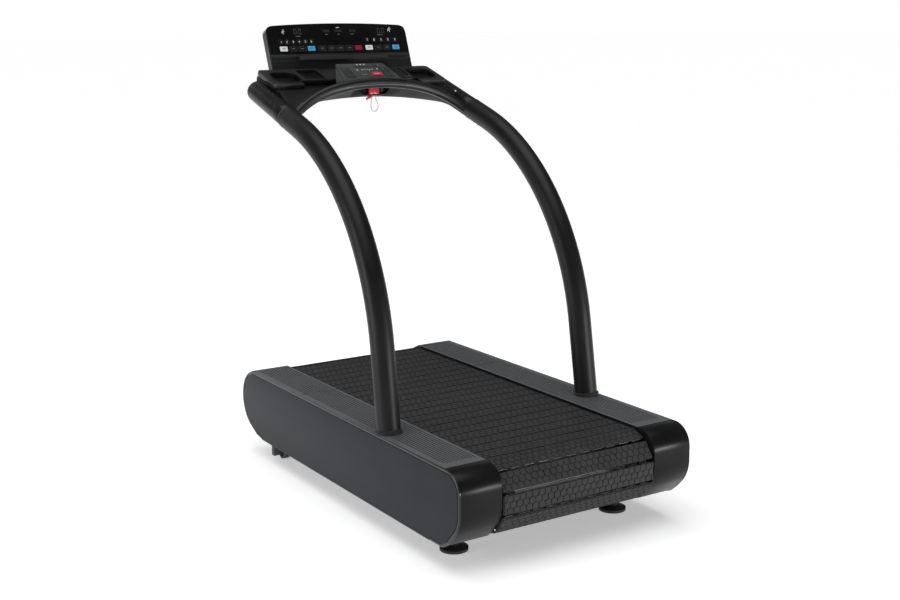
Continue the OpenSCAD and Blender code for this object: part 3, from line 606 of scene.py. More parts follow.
def cover_bed(side, y0, y1):
    """Painted shade: black sheet and skirt of a cover, which show as the dark floors of its grooves."""
    low, high = GAP_HALF + 0.0003, HALF_W - PANEL_T - 0.0004
    top = COVER_Z - 0.0014
    edge = [(low, 0.292), (low, top), (high, top), (high, COVER_Z - 0.004), (low + 0.004, COVER_Z - 0.004),
            (low + 0.004, 0.292)]
    return loft("bed", [[(side * x, y, z) for x, z in edge] for y in (y0 + 0.0008, y1 - 0.0008)])


def add_cover_bands(ribs, skins, side, y0, y1, plain):
    """Ribs between the grooves of a cover, stopped short round the tube, their bodies painted black as the shade
    on the groove walls, and the grey skin on their tops; plain is the ungrooved rear end."""
    low, high = GAP_HALF + 0.0003, HALF_W - PANEL_T - 0.0004
    layers = ((ribs, COVER_Z - 0.0016, COVER_Z - 0.0003), (skins, COVER_Z - 0.0004, COVER_Z))
    edges = [low]
    for i in range(GROOVES):
        groove = GAP_HALF + 0.012 + i * GROOVE_PITCH
        edges += [groove, groove + GROOVE_W]
    edges.append(high)
    start = y0 + (plain or 0.0008)
    hole = RAIL_R + 0.0025
    for a, b in zip(edges[::2], edges[1::2]):
        xs = [a + (b - a) * k / 6 for k in range(7)]
        reach = [math.sqrt(max(0, hole ** 2 - (x - RAIL_X) ** 2)) for x in xs]
        if y0 < RAIL_Y < y1 and max(reach) > 0:
            runs = [[(a, start), (b, start)] + [(x, RAIL_Y - r) for x, r in zip(xs[::-1], reach[::-1])],
                    [(x, RAIL_Y + r) for x, r in zip(xs, reach)] + [(b, y1 - 0.0008), (a, y1 - 0.0008)]]
        else:
            runs = [[(a, start), (b, start), (b, y1 - 0.0008), (a, y1 - 0.0008)]]
        for run in runs:
            for out, bottom, top in layers:
                prism(out, [(side * x, y) for x, y in run][::side], bottom, top)
    if plain:
        strip = [(low, y0 + 0.0008), (high, y0 + 0.0008), (high, start), (low, start)]
        for out, bottom, top in layers:
            prism(out, [(side * x, y) for x, y in strip][::side], bottom, top)


def covers():
    """Grooved covers beside the slats, with a row of dots near each rear end; the groove floors, groove walls and
    dots are painted black as shade.
    """
    for side, name in ((-1, "left"), (1, "right")):
        # black sheet under the grooves: painted shade
        finish(cover_bed(side, CREASE_Y, SEAM_Y), "cap_black")
        out, ribs = ([], []), ([], [])
        add_cover_bands(ribs, out, side, CREASE_Y, SEAM_Y, 0.040)
        # black rib bodies: painted shade on the groove walls
        finish(mesh_object(name + "_cover_rib_shade", *ribs), "cap_black", smooth=False)
        finish(mesh_object(name + "_deck_cover", *out), "cover_grey", name + "_top_cover", smooth=False)
    beds = [cover_bed(side, SEAM_Y - 0.0016, FLAT_FRONT_Y) for side in (-1, 1)]
    # black sheets under the front grooves: painted shade
    finish(join("front_beds", *beds), "cap_black")
    out, ribs, dots = ([], []), ([], []), ([], [])
    for side in (-1, 1):
        add_cover_bands(ribs, out, side, SEAM_Y + 0.001, FLAT_FRONT_Y, 0)
        for k in range(7):
            x = GAP_HALF + 0.021 + k * 0.0157
            # black discs where the dot holes are: painted shade
            prism(dots, circle(side * x, CREASE_Y + 0.031, 0.0018, 12), COVER_Z - 0.001, COVER_Z + 0.0002)
    finish(mesh_object("front_deck_covers", *out), "cover_grey", "front_covers", smooth=False)
    # black rib bodies: painted shade on the groove walls
    finish(mesh_object("front_cover_rib_shade", *ribs), "cap_black", smooth=False)
    finish(mesh_object("cover_dot_shade", *dots), "cap_black", smooth=False)


# ---- slats ----
def slat_frames():
    """Frame of each slat: x across, y along the belt, z outward."""
    run = RUN_SLATS * SLAT_PITCH
    turn = TURN_SLATS / 2 * SLAT_PITCH
    out = []
    for k in range(2 * RUN_SLATS + TURN_SLATS):
        s = (k + 0.5) * SLAT_PITCH
        if s < run:
            out.append(at(0, REAR_AXLE_Y + s, AXLE_Z))
        elif s < run + turn:
            out.append(at(0, FRONT_AXLE_Y, AXLE_Z) @ rot_x(-math.degrees((s - run) / BELT_R)))
        elif s < 2 * run + turn:
            out.append(at(0, FRONT_AXLE_Y - (s - run - turn), AXLE_Z) @ rot_x(180))
        else:
            out.append(at(0, REAR_AXLE_Y, AXLE_Z) @ rot_x(-180 - math.degrees((s - 2 * run - turn) / BELT_R)))
    return out


def clip(poly, axis, limit, sign):
    """The part of a polygon where sign * coordinate is below limit."""
    out = []
    for i, p in enumerate(poly):
        q = poly[(i + 1) % len(poly)]
        dp, dq = limit - sign * p[axis], limit - sign * q[axis]
        if dp >= 0:
            out.append(p)
        if (dp > 0) != (dq > 0) and dp != dq:
            t = dp / (dp - dq)
            out.append((p[0] + (q[0] - p[0]) * t, p[1] + (q[1] - p[1]) * t))
    return out


def tread_hexes():
    """Outlines of the raised hexagons of one tread, cut off at its edges."""
    pitch, flat = 0.0225, 0.0207
    r = flat / math.sqrt(3)
    out = []
    for row in (-1, 0, 1):
        v = row * pitch * math.sqrt(3) / 2
        shift = 0 if row == 0 else pitch / 2
        for k in range(-14, 15):
            u = k * pitch + shift
            poly = [(u + r * math.sin(math.radians(60 * i)), v + r * math.cos(math.radians(60 * i)))
                    for i in range(6)]
            for axis, limit in ((0, SLAT_W / 2 - 0.0022), (1, 0.0276)):
                for sign in (1, -1):
                    poly = clip(poly, axis, limit, sign) if poly else poly
            if len(poly) >= 3 and area(poly) > 2e-5:
                out.append(poly)
    return out


def area(poly):
    return abs(sum(a[0] * b[1] - b[0] * a[1] for a, b in zip(poly, poly[1:] + poly[:1]))) / 2


def treads():
    low, base, top = TREAD_TOP - 0.008, TREAD_TOP - 0.0030, TREAD_TOP
    half_w, half_l, rim = SLAT_W / 2, 0.0284, 0.0012
    pad = [(half_w, half_l, low), (half_w, half_l, base - rim), (half_w - rim, half_l - rim, base)]
    verts, faces = skin([[(x, y, z), (-x, y, z), (-x, -y, z), (x, -y, z)] for x, y, z in pad])
    for poly in tread_hexes():
        n, first = len(poly), len(verts)
        cx = sum(p[0] for p in poly) / n
        cy = sum(p[1] for p in poly) / n
        more, around = skin([[(cx + (x - cx) * scale, cy + (y - cy) * scale, z) for x, y in poly]
                             for scale, z in ((1.0, base - 0.0002), (0.985, top - 0.0005), (0.945, top))])
        verts += more
        faces += [tuple(first + i for i in f) for f in around]
    repeat("running_treads", verts, faces, "tread_rubber", "slat_treads")


def beams():
    """Slotted alloy flange and web under each tread; the flange's edges are cut into dashes."""
    low, high = 0.1002, TREAD_TOP - 0.008
    notches = 11
    half = SLAT_W / 2 - 0.002
    tooth = 2 * half / notches
    line = []
    for k in range(notches):
        x = -half + k * tooth
        line += [(x, 0.0245), (x + 0.006, 0.0245), (x + 0.0085, 0.0284), (x + tooth - 0.0085, 0.0284),
                 (x + tooth - 0.006, 0.0245)]
    outline = line + [(x, -y) for x, y in reversed(line)]
    flange = plate("flange", outline, low, high - 0.0002, Matrix.Identity(4), 0.0004, steps=1)
    web = plate("web", box_outline(-0.0025, 0.0025, 0.072, low + 0.0002, 0.0006), -0.228, 0.228, SIDE)
    beam = join("beam", flange, web)
    verts = [tuple(v.co) for v in beam.data.vertices]
    faces = [tuple(p.vertices) for p in beam.data.polygons]
    bpy.data.objects.remove(beam)
    repeat("slat_profiles", verts, faces, "slat_alloy", "slat_beams")


def repeat(name, verts, faces, slot, node):
    """One copy of a slat's mesh at each place round the belt."""
    all_verts, all_faces = [], []
    for m in slat_frames():
        base = len(all_verts)
        all_verts += [m @ Vector(v) for v in verts]
        all_faces += [tuple(base + i for i in f) for f in faces]
    mesh = bpy.data.meshes.new(name)
    mesh.from_pydata(all_verts, [], all_faces)
    tidy_mesh(mesh, merge=False)
    finish(add_object(name, mesh), slot, node)


# ---- handrails ----
def rail_frame(side):
    return (at(side * RAIL_X, 0, COVER_Z) @ Matrix.Rotation(math.radians(-side * RAIL_INWARD), 4, "Y")
            @ at(0, 0, -COVER_Z))


def along(lean):
    """Direction in the y-z plane of a line that leans forward from upright."""
    a = math.radians(lean)
    return Vector((0, math.sin(a), math.cos(a)))


FOOT = Vector((0, RAIL_Y, COVER_Z))
BEND_START = FOOT + along(RAIL_LEAN) * RAIL_RISE
BEND_CENTRE = BEND_START + along(RAIL_LEAN + 90) * RAIL_BEND
BEND_END = BEND_CENTRE - along(RAIL_END + 90) * RAIL_BEND
RING = BEND_END + along(RAIL_END) * RAIL_TAIL


def ring_frame(side):
    """Frame at a tube's upper end: z forward along the grip, y down from its underside."""
    return rail_frame(side) @ Matrix.Translation(RING) @ rot_x(-RAIL_END)


def handrail(side):
    line = [FOOT + along(RAIL_LEAN) * t for t in (-RAIL_ROOT, -0.06, 0.0, 0.1, 0.2)]
    turn = 40
    line += [BEND_CENTRE - along(RAIL_LEAN + 90 + (RAIL_END - RAIL_LEAN) * i / turn) * RAIL_BEND
             for i in range(turn + 1)]
    line += [RING - along(RAIL_END) * t for t in (0.06, 0.012, 0.0100, 0.0085, 0.0015, 0.0004)]
    radius = [RAIL_R] * (len(line) - 4) + [RAIL_R, RAIL_R + 0.0006, RAIL_R + 0.0006, RAIL_R - 0.0006]
    word = "left" if side < 0 else "right"
    obj = loft(word + "_tube", sweep(line, radius, 64), rail_frame(side))
    finish(obj, "rail_paint", word + "_handrail", angle=50)


def collars():
    parts = []
    for side in (-1, 1):
        m = rail_frame(side) @ Matrix.Translation(FOOT) @ rot_x(-RAIL_LEAN)
        profile = [(RAIL_R + 0.0001, -0.0055), (RAIL_R + 0.0046, -0.0055), (RAIL_R + 0.0046, 0.0050),
                   (RAIL_R + 0.0036, 0.0075), (RAIL_R + 0.0012, 0.0090), (RAIL_R + 0.0001, 0.0090)]
        parts.append(spin("ring", profile + profile[:1], m, 64))
    finish(join("tube_collars", *parts), "collar_black", "rail_collars", angle=40)


def grips():
    """Round side grips with domed noses and the dark groove at each tube's end."""
    parts = []
    for side in (-1, 1):
        nose, plug = 0.026, 0.0345
        dome = [(GRIP_R - nose + nose * math.cos(math.radians(a)), GRIP_L - nose + nose * math.sin(math.radians(a)))
                for a in range(0, 90, 6)]
        profile = ([(0, -0.075), (plug, -0.075), (plug, 0.0002), (plug, 0.0016), (GRIP_R - 0.0008, 0.0018),
                    (GRIP_R, 0.0030), (GRIP_R, 0.04), (GRIP_R, 0.12), (GRIP_R, 0.20)] + dome
                   + [(0.010, GRIP_L - 0.0001), (0, GRIP_L)])
        parts.append(spin("grip", profile, ring_frame(side), 64))
    finish(join("side_grips", *parts), "grip_black", "grip_castings", angle=50)


def bolts():
    parts = []
    for side in (-1, 1):
        for d in (0.028, 0.056):
            m = ring_frame(side) @ at(0, 0, -d) @ rot_x(-90) @ at(0, 0, RAIL_R)
            head = [(0, -0.010), (0.0039, -0.010), (0.0039, -0.0004), (0.0072, -0.0004), (0.0072, 0.0026),
                    (0.0062, 0.0042), (0.0040, 0.0050), (0.0034, 0.0050), (0.0030, 0.0022), (0, 0.0022)]
            parts.append(spin("bolt", head, m, 24))
    finish(join("tube_bolts", *parts), "bright_steel", "rail_bolts", mat="cap_black")


# ---- console ----
def bar_y(x):
    return 0.425 - 0.018 * (x / 0.3) ** 4


def bar_z(x):
    return 1.355 - 0.045 * (x / 0.3) ** 2 - 0.0256 * (x / 0.3) ** 4


def skirt_y(x):
    return 0.518 - 0.0245 * (x / 0.3) ** 4


def skirt_z(x):
    return 1.303 - 0.028 * (x / 0.3) ** 2


def tray_under_z(y):
    a = math.radians(TRAY_SLOPE)
    return CREST_Z - (CREST_Y - y) * math.tan(a) - TRAY_T / math.cos(a)


def pad_half(y):
    return PAD_W0 + (PAD_W1 - PAD_W0) * (y - PAD_Y0) / (PAD_Y1 - PAD_Y0)


def bed_z(y):
    """Top of the housing under the pad."""
    front, crest = bar_y(PAD_W0) + 0.017, skirt_y(PAD_W0) + 0.020
    if y > crest:
        return tray_under_z(y)
    low = bar_z(PAD_W0) + 0.004
    return low + (tray_under_z(crest) - low) * (y - front) / (crest - front)


def stroke(p, q, width):
    """Outline of a straight stroke with square ends."""
    p, q = Vector(p), Vector(q)
    side = (q - p).normalized().orthogonal() * width / 2
    return [tuple(p - side), tuple(q - side), tuple(q + side), tuple(p + side)]


def dash(out, x, y, length, width, low, high):
    """Level stroke with its middle at (x, y)."""
    prism(out, stroke((x - length / 2, y), (x + length / 2, y), width), low, high)


SEGMENTS = {"0": "abcdef", "1": "bc", "2": "abged", "3": "abgcd", "4": "fgbc", "5": "afgcd", "6": "afgedc",
            "7": "abc", "8": "abcdefg", "9": "abcdfg"}


def digit(out, char, x, y, height, width, low, high):
    """Seven-segment figure with its middle at (x, y)."""
    w, h = height * 0.26, height / 2
    ends = {"a": ((-w, h), (w, h)), "b": ((w, h), (w, 0)), "c": ((w, 0), (w, -h)), "d": ((w, -h), (-w, -h)),
            "e": ((-w, -h), (-w, 0)), "f": ((-w, 0), (-w, h)), "g": ((-w, 0), (w, 0))}
    for name in SEGMENTS[char]:
        a, b = ends[name]
        prism(out, stroke((x + a[0], y + a[1]), (x + b[0], y + b[1]), width), low, high)


def printed(name, out, matrix, slot, mat, body="chassis"):
    """Thin flat print standing a little proud of its face."""
    finish(mesh_object(name, *out, matrix), slot, body=body, mat=mat, smooth=False)


def handlebar():
    """Curved front bar with two seams, a fine ridge along its middle stretch and a bead below its arms."""
    seam = 0.117
    xs = [i * CONSOLE_HALF / 60 for i in range(-60, 61)]
    for s in (-seam, seam):
        xs += [s - 0.0009, s - 0.0007, s + 0.0007, s + 0.0009]
    sections = []
    for x in sorted(xs):
        cut = 0.95 if min(abs(x - seam), abs(x + seam)) < 0.0008 else 1
        ring = []
        for k in range(40):
            a = 2 * math.pi * k / 40
            c, s = math.cos(a), math.sin(a)
            ring.append((x, bar_y(x) + cut * 0.016 * math.copysign(abs(c) ** 0.72, c),
                         bar_z(x) + cut * 0.018 * math.copysign(abs(s) ** 0.72, s)))
        sections.append(ring)
    parts = [loft("bar", sections)]
    ridge = [(x, bar_y(x) - 0.0156, bar_z(x) - 0.0030) for x in (i * 0.0055 for i in range(-20, 21))]
    parts.append(loft("ridge", sweep(ridge, [0.0003] + [0.0014] * 39 + [0.0003], 12)))
    for side in (-1, 1):
        bead = [(side * x, bar_y(x) - 0.0115, bar_z(x) - 0.0150) for x in (0.119 + i * 0.006 for i in range(33))]
        parts.append(loft("bead", sweep(bead, 0.0013, 12)))
    finish(join("front_bar", *parts), "console_black", "handlebar", angle=40)


def lip(x):
    """Front edge of the skirt at x, as (y, z); it dips round the safety key."""
    t = min(1, max(0, (abs(x) - DIP_IN) / (DIP_OUT - DIP_IN)))
    t = t * t * (3 - 2 * t)
    under_bar = (bar_y(x) + 0.004 + 0.020 * max(0, 1 - (abs(x) - DIP_OUT) / 0.03 if abs(x) > DIP_OUT else 1),
                 bar_z(x) - 0.0165)
    return (LIP_Y + (under_bar[0] - LIP_Y) * t, LIP_Z + (under_bar[1] - LIP_Z) * t)


def housing():
    """Skirt and body of the console, painted darker than the bar as the shade under it: bay for the safety key, lip,
    skirt, back and top.
    """
    xs = [i * CONSOLE_HALF / 46 for i in range(-46, 47)]
    for side in (-1, 1):
        xs += [side * CONSOLE_HALF * math.sin(math.radians(a)) for a in range(72, 90, 3)]
        xs += [side * (DIP_IN + i * 0.0048) for i in range(7)]
    xs.sort()
    sections = []
    for x in xs:
        top_x = max(abs(x), PAD_W0)
        front = bar_y(top_x) + 0.017
        crest = skirt_y(top_x) + 0.020
        ly, lz = lip(x)
        wall = max(front + 0.001, ly + 0.006) if abs(x) > DIP_OUT + 0.001 else BAY_Y
        ey, ez = skirt_y(x), skirt_z(x)
        round_in = END_R * (1 - math.sqrt(1 - max(0, (abs(x) - CONSOLE_HALF + END_R) / END_R) ** 2))
        back, roof = BACK_Y - round_in, TOP_Z - round_in
        top = bar_z(top_x) + 0.004
        wall_top = max(min(top - 0.003, bar_z(x) + 0.001), lz + 0.006)
        section = [(front, top), (front, wall_top), (wall, wall_top - 0.001), (wall, lz + 0.0022),
                   (ly + 0.0022, lz + 0.0016), (ly + 0.0006, lz + 0.0022), (ly - 0.0008, lz + 0.0014),
                   (ly - 0.0008, lz - 0.0006), (ly + 0.0006, lz - 0.0020), (ly + 0.006, lz - 0.0030)]
        mid = (0.5 * (ly + 0.006) + 0.5 * ey, 0.42 * (lz - 0.003) + 0.58 * ez)
        section += [mid, (ey - 0.004, ez + 0.0008), (ey, ez), (ey + 0.004, ez + 0.0016),
                    (back - 0.004, ez + 0.049), (back, ez + 0.054), (back, roof - 0.002), (back - 0.002, roof),
                    (0.672, roof), (crest, tray_under_z(crest) - 0.0003)]
        sections.append([(x, y, z) for y, z in section])
    socket = plate("socket", box_outline(0.034, 0.044, 1.3225, 1.3355, 0.001), 0.0, 0.0008, FACE_Y, 0.0002, steps=1)
    # the shell takes the darker skirt paint: painted shade
    finish(loft("console_shell", sections), "console_black", "console_housing", mat="shaded_skirt_black", angle=35)
    finish(socket, "cup_black")


def tray():
    v = (PAD_Y1 + 0.0003 - CREST_Y) / math.cos(math.radians(TRAY_SLOPE))
    gap = PAD_W0 + 0.0003
    half = [(gap, v), (gap, -0.125), (0.236, -0.125), (0.236, -0.160), (0.352, -0.160), (0.352, 0)]
    corners = [(-x, y) for x, y in half] + half[::-1]
    radii = [0.001, 0.001, 0.006, 0.010, 0.028, 0.018]
    radii += radii[::-1]
    recess = box_outline(-0.212, -0.126, -0.112, -0.014, 0.004)
    slot_hole = box_outline(0.208, 0.220, -0.104, -0.012, 0.0058)
    holes = [[(x + s * CUP_X, y + CUP_V) for x, y in cup_outline(0)] for s in (-1, 1)]
    sheet = plate("sheet", rounded(corners, radii), -TRAY_T, 0, TRAY, 0.003, [recess, slot_hole, *holes], 3)
    finish(sheet, "tray_black", "console_tray", angle=30)
    floor = plate("recess_floor", box_outline(-0.2125, -0.1255, -0.1125, -0.0135, 0.003), -TRAY_T + 0.0005, -0.010,
                  TRAY, 0.0003)
    finish(floor, "tray_black", mat="cup_black")
    out = ([], [])
    band(out, box_outline(0.2045, 0.2235, -0.1075, -0.0085, 0.009), slot_hole, -0.001, 0.0012)
    band(out, box_outline(-0.216, -0.122, -0.116, -0.010, 0.006), recess, -0.001, 0.0010)
    finish(mesh_object("tray_rims", *out, TRAY), "tray_black", smooth=False)


def cup_outline(e):
    return box_outline(-0.052 + e, 0.052 - e, -0.050 + e, 0.050 - e, 0.038 - e)


def cups():
    """Drink holders with a rim on the tray, a step part way down and a rounded floor."""
    profile = [(0.004, -0.0618), (0.0008, -0.0600), (0.0002, -0.055), (0.0002, 0.0001), (-0.0030, 0.0001),
               (-0.0030, 0.0013), (-0.0024, 0.0020), (0.0016, 0.0020), (0.0030, 0.0012), (0.0034, -0.016),
               (0.0042, -0.019), (0.0090, -0.0205), (0.0102, -0.022), (0.0115, -0.052), (0.0135, -0.0565),
               (0.0180, -0.0580)]
    parts = []
    for side in (-1, 1):
        rings = [[(x + side * CUP_X, y + CUP_V, z) for x, y in cup_outline(e)] for e, z in profile]
        parts.append(loft("cup", rings, TRAY))
    finish(join("cup_wells", *parts), "cup_black", "cup_inserts", angle=40)


def board_top(x):
    """Arched upper edge of the display housing."""
    return BOARD_H - 0.007 * (x / 0.25) ** 2


def board_outline(half, low, drop, radius):
    """Display outline: straight sides, rounded upper corners and an arched top edge lowered by drop."""
    top = [(half * 0.78 * i / 10, board_top(half * 0.78 * i / 10) - drop) for i in range(10, -11, -1)]
    side = board_top(half) - drop
    right = rounded([(half, low), (half, side), top[0]], (1e-4, radius, 1e-4), 10)
    corner = [p for p in right if p[1] > low + 0.01 and p[0] > top[0][0] + 0.001]
    left = [(-x, y) for x, y in reversed(corner)]
    return [(half, low)] + corner + top + left + [(-half, low)]


def display():
    face = plate("face", board_outline(BOARD_W / 2, -0.012, 0, 0.036), -0.014, 0, BOARD, 0.0022, steps=3)
    ledge_box = [(0.0262, 0.0), (0.0262, 0.0168), (0.0275, 0.018), (0.0405, 0.018), (0.042, 0.0165), (0.042, 0.0145),
                 (0.0405, 0.0132), (0.0315, 0.0130), (0.0310, 0.0120), (0.0310, 0.0032), (0.0310, 0.0)]
    ledge = plate("ledge", ledge_box, -0.181, 0.181, BOARD @ SIDE, 0.0004, steps=1)
    ends = [plate("ledge_end", box_outline(0.0262, 0.042, 0.0, 0.018, 0.004), *sorted((s * 0.1805, s * 0.185)),
                  BOARD @ SIDE, 0.0008) for s in (-1, 1)]
    seams = ([], [])
    for s in (-1, 1):
        prism(seams, [(s * 0.187, 0.0285), (s * 0.2899, 0.0285), (s * 0.2899, 0.0305), (s * 0.187, 0.0305)][::s],
              -0.001, 0.0009)
    seam = mesh_object("seam", *seams, BOARD)
    lower = join("display_body", face, ledge, *ends, seam)
    finish(lower, "console_black", "display_front", angle=30)
    gloss = board_outline(BOARD_W / 2 - 0.0025, 0.055, 0.0025, 0.0235)
    finish(plate("gloss_panel", gloss, -0.0006, 0.0008, BOARD, 0.0005, steps=2), "display_gloss")
    strip = box_outline(-BOARD_W / 2 + 0.003, BOARD_W / 2 - 0.003, 0.0435, 0.0535, 0.003)
    finish(plate("lower_strip", strip, -0.0006, 0.0007, BOARD, 0.0005, steps=1), "tray_black")


def display_back():
    lean = math.radians(BOARD_LEAN)
    low = -(DISPLAY_REAR_Y - CREST_Y - (BOARD_H - 0.003) * math.cos(lean)) / math.sin(lean)
    outline = board_outline(BOARD_W / 2 - 0.002, -0.014, 0.003, 0.026)
    shell = plate("shell", outline, low, -0.0142, BOARD, 0.006, steps=4)
    field = plate("field", box_outline(-0.262, 0.262, 0.012, 0.138, 0.012), low - 0.0006, low + 0.004, BOARD, 0.0005)
    vents = ([], [])
    for i in range(12):
        x = -0.066 + i * 0.012
        prism(vents, box_outline(x - 0.003, x + 0.003, 0.040, 0.086, 0.0028), low - 0.0009, low + 0.001)
    screws = [spin("screw", [(0, -0.001), (0.0050, -0.001), (0.0050, 0.0008), (0.0040, 0.0016), (0.0022, 0.0016),
                             (0.0018, 0.0004), (0, 0.0004)], BOARD @ at(x, v, low) @ rot_x(180), 24)
              for x in (-0.245, 0.245) for v in (0.026, 0.124)]
    finish(join("display_rear_shell", shell, field, *screws), "console_black", "display_rear", angle=30)
    finish(mesh_object("display_vents", *vents, BOARD), "cup_black", smooth=False)


def keys():
    top = 0.0018
    nodes = ["display_keys"]
    for paint in ("white", "blue", "red", "black"):
        plates = [plate("key", box_outline(x - 0.015, x + 0.015, KEY_V, KEY_V + 0.018, 0.0025), 0.0004, top, BOARD,
                        0.0004, steps=1) for x, own in zip(KEY_X, KEY_PAINT) if own == paint]
        finish(join("keys_" + paint, *plates), "key_plastic", *nodes, mat="key_" + paint, angle=40)
        nodes = []
    out = ([], [])
    for x, paint in zip(KEY_X, KEY_PAINT):
        if paint == "black":
            frame_band(out, x - 0.0155, x + 0.0155, KEY_V - 0.0005, KEY_V + 0.0185, 0.003, 0.0008, top + 0.0001)
    for x, v in NUMBER_KEYS:
        band(out, circle(x, v, 0.0090, 32), circle(x, v, 0.0083, 32), 0.0006, 0.0014)
    printed("key_outlines", out, BOARD, "key_plastic", "print_dim")
    out = ([], [])
    for i, (x, v) in enumerate(NUMBER_KEYS):
        digit(out, str(i + 1 if i < 9 else 0), x, v, 0.0068, 0.0012, 0.0006, 0.0013)
    printed("key_figures", out, BOARD, "key_plastic", "print_white")
    marks, captions = ([], []), ([], [])
    for x, paint in zip(KEY_X, KEY_PAINT):
        if paint == "black":
            dash(marks, x, KEY_V + 0.009, 0.012, 0.0018, top - 0.0002, top + 0.0001)
        else:
            for length, v in ((0.014, 0.011), (0.010, 0.007)):
                dash(captions, x, KEY_V + v, length, 0.0014, top - 0.0002, top + 0.0001)
    printed("key_marks", marks, BOARD, "key_plastic", "print_grey")
    printed("key_captions", captions, BOARD, "key_plastic", "print_dim")


def runner(out, x, v, scale, low, high):
    """Small running figure of a head and straight limbs."""
    limbs = [((0, 6), (-2, 0)), ((-2, 0), (2, -4)), ((2, -4), (0, -9)), ((-2, 0), (-5, -4)), ((-5, -4), (-9, -4)),
             ((0, 5), (4, 2)), ((4, 2), (7, 4)), ((-0.5, 5), (-5, 4)), ((-5, 4), (-6, 0))]
    for a, b in limbs:
        prism(out, stroke((x + a[0] * scale, v + a[1] * scale), (x + b[0] * scale, v + b[1] * scale), 1.9 * scale),
              low, high)
    prism(out, circle(x + 2 * scale, v + 9 * scale, 2.2 * scale, 16), low, high)


def display_print():
    """Readings, figures and caption marks on the gloss panel."""
    low, high = 0.0006, 0.0011
    out = ([], [])
    runner(out, -0.222, 0.138, 0.00085, low, high)
    runner(out, 0.219, 0.143, 0.00095, low, high)
    printed("runner_marks", out, BOARD, "display_gloss", "print_white")
    out = ([], [])
    for centre in (-0.165, 0.181):
        for dx in (-0.009, 0.009):
            digit(out, "0", centre + dx, 0.140, 0.018, 0.0020, low, high)
        prism(out, circle(centre, 0.1305, 0.0014, 12), low, high)
    for centre in (-0.048, 0.002, 0.061):
        for k in range(4):
            digit(out, "8", centre - 0.0105 + 0.007 * k, 0.141, 0.0085, 0.0009, low, high)
    printed("display_readings", out, BOARD, "display_gloss", "print_dim")
    out = ([], [])
    for centre, width, v in ((-0.165, 0.022, 0.122), (0.176, 0.026, 0.124), (-0.048, 0.012, 0.128),
                             (0.002, 0.012, 0.128), (0.058, 0.014, 0.128)):
        count = round(width / 0.0035)
        for k in range(count):
            x = centre - width / 2 + 0.0035 * (k + 0.5)
            dash(out, x, v, 0.0024, 0.0022, low, high)
    printed("caption_marks", out, BOARD, "display_gloss", "print_grey")
    out = ([], [])
    dash(out, 0.002, 0.1535, 0.014, 0.0022, low, high)
    printed("lit_mark", out, BOARD, "display_gloss", "print_white")


def control_pad():
    """Sloped key pad: bevelled top plate with its pockets, and the body under it."""
    cos = math.cos(math.radians(PAD_SLOPE))
    v0, v1 = (PAD_Y0 - PAD_Y) / cos, (PAD_Y1 - PAD_Y) / cos
    corners = [(-PAD_W0, v0), (PAD_W0, v0), (PAD_W1, v1), (-PAD_W1, v1)]
    holes = [box_outline(x - 0.0168, x + 0.0168, ROCKER_V - 0.0336, ROCKER_V + 0.0336, 0.002)
             for x in (SPEED_X, INCLINE_X)]
    holes.append(box_outline(STOP_X - 0.0213, STOP_X + 0.0213, STOP_V - 0.0113, STOP_V + 0.0113, 0.002))
    holes.append(box_outline(-0.036, 0.070, 0.0925, 0.0965, 0.0018))
    sheet = plate("sheet", rounded(corners, 0.005), -0.0109, 0, PAD, 0.0022, holes, 3)
    sections = []
    for y in (PAD_Y0 + 0.0006, 0.470, 0.500, 0.5376, PAD_Y1 - 0.0006):
        top = PAD_Z + (y - PAD_Y) * math.tan(math.radians(PAD_SLOPE)) - 0.0104 / cos
        w = pad_half(y) - 0.0004
        low = min(bed_z(y) + 0.0003, top - 0.0008)
        sections.append([(-w, y, top), (w, y, top), (w, y, low), (-w, y, low)])
    block = loft("block", sections)
    finish(join("key_pad", sheet, block), "pad_grey", "control_pad", angle=30)
    out = ([], [])
    for x0, x1, v0, v1 in ((-0.048, 0.064, 0.018, 0.086), (-0.038, -0.004, 0.026, 0.044)):
        frame_band(out, x0, x1, v0, v1, 0.003, -0.0004, 0.0003)
    printed("pad_outlines", out, PAD, "pad_grey", "print_dim")
    out = ([], [])
    for x in (-0.014, 0.0, 0.014):
        prism(out, box_outline(x - 0.003, x + 0.003, 0.1045, 0.1105, 0.0012), *PRINT_Z)
    runner(out, -0.031, 0.067, 0.00055, *PRINT_Z)
    runner(out, 0.052, 0.072, 0.00048, *PRINT_Z)
    for k in range(8):
        dash(out, -0.01225 + k * 0.0062, 0.0705, 0.0035, 0.0026, *PRINT_Z)
    prism(out, circle(0.014, 0.060, 0.0018, 16), *PRINT_Z)
    printed("pad_marks", out, PAD, "pad_grey", "print_white")
    out = ([], [])
    for k in range(5):
        dash(out, -0.0276 + k * 0.0046, 0.035, 0.0028, 0.0036, *PRINT_Z)
    printed("pad_yellow_marks", out, PAD, "pad_grey", "print_yellow")
    knob = spin("knob", [(0, -0.006), (0.0042, -0.006), (0.0042, 0.0006), (0.0060, 0.0010), (0.0060, 0.0028),
                         (0.0052, 0.0040), (0, 0.0044)], PAD @ at(0.064, 0.0945, 0), 32)
    finish(knob, "bright_steel")


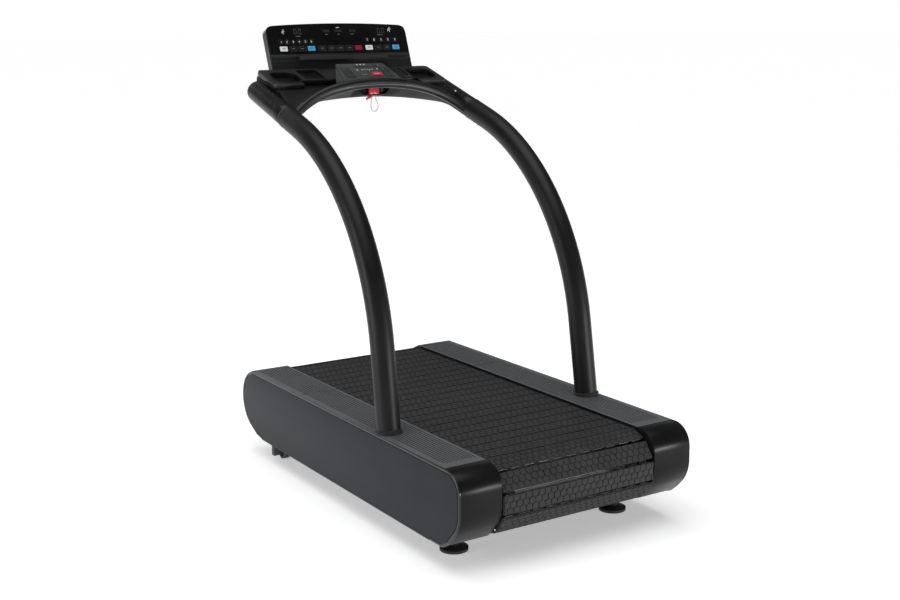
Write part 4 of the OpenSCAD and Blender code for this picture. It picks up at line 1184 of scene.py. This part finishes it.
def rockers():
    profile = [(-0.0326, 0.0012), (-0.0318, 0.0020), (-0.002, 0.0009), (0.002, 0.0009), (0.0318, 0.0020),
               (0.0326, 0.0012), (0.0326, -0.0040), (0.004, -0.0088), (-0.004, -0.0088), (-0.0326, -0.0040)]
    for name, x, body in (("speed", SPEED_X, "speed_key"), ("incline", INCLINE_X, "incline_key")):
        paddle = plate(name + "_paddle", profile, -0.0164, 0.0164, PAD @ at(x, ROCKER_V, 0) @ SIDE, 0.0006)
        finish(paddle, "rocker_black", name + "_rocker", body=body, angle=25)
        out = ([], [])
        for sign in (-1, 1):
            tip = sign * 0.022
            prism(out, [(-0.004, tip - sign * 0.003), (0.004, tip - sign * 0.003), (0, tip + sign * 0.003)][::sign],
                  0.0002, 0.0021)
        arrow = mesh_object(name + "_arrows", *out, PAD @ at(x, ROCKER_V, 0))
        finish(arrow, "rocker_black", body=body, mat="print_dim", smooth=False)


def stop_key():
    outline = box_outline(STOP_X - 0.021, STOP_X + 0.021, STOP_V - 0.011, STOP_V + 0.011, 0.003)
    cap = plate("stop_cap", outline, -0.006, 0.002, PAD, 0.0010, steps=3)
    finish(cap, "red_plastic", "stop_key", body="stop_button", mat="stop_pink", angle=30)
    out = ([], [])
    prism(out, box_outline(STOP_X - 0.010, STOP_X + 0.010, STOP_V - 0.0012, STOP_V + 0.0012, 0.0008), 0.0015, 0.0022)
    printed("stop_mark", out, PAD, "red_plastic", "print_white", "stop_button")


def safety_key():
    """Flat red magnet key with a rounded rim, a raised middle and the plug behind it."""
    head = plate("head", box_outline(-0.021, 0.021, -0.012, 0.012, 0.0070), 0.0003, 0.0133, KEY_FACE, 0.0024, steps=4)
    field = plate("field", box_outline(-0.0150, 0.0150, -0.0070, 0.0070, 0.0045), 0.0120, 0.0137, KEY_FACE, 0.0005)
    plug = plate("plug", box_outline(-0.008, 0.008, -0.004, 0.004, 0.001), -0.020, 0.001, KEY_FACE, 0.0004)
    finish(join("magnet_key", head, field, plug), "red_plastic", "safety_key", body="safety_plug", angle=30)


def grip_button():
    """Pale round stud on top of the right grip's end."""
    m = at(0.345, 0.454, 1.3165)
    stud = spin("stud", [(0, -0.004), (0.0045, -0.004), (0.0045, 0.0004), (0.0036, 0.0018), (0, 0.0024)], m, 24)
    finish(stud, "bright_steel")


lanyard()
for sign in (-1, 1):
    side_panel(sign)
    end_cap(sign, True)
    end_cap(sign, False)
    handrail(sign)
covers()
treads()
beams()
collars()
grips()
bolts()
handlebar()
housing()
tray()
cups()
display()
display_back()
keys()
display_print()
control_pad()
rockers()
stop_key()
safety_key()
grip_button()

# ---- parts that keep their CAD shape ----
for part, obj in frame["nodes"].items():
    part_slot = next(s["material_slot"] for s in frame["record"]["subparts"] if s["node"] == part)
    if part.endswith("_lift_leg"):
        part_slot = "frame_steel"
    obj.data.materials.clear()
    obj.data.materials.append(MATERIALS[part_slot])

# ---- floor ----
ground = mesh_object("floor", [(-400, -400, 0), (400, -400, 0), (400, 400, 0), (-400, 400, 0)], [(0, 1, 2, 3)])
ground.data.materials.append(floor_material())
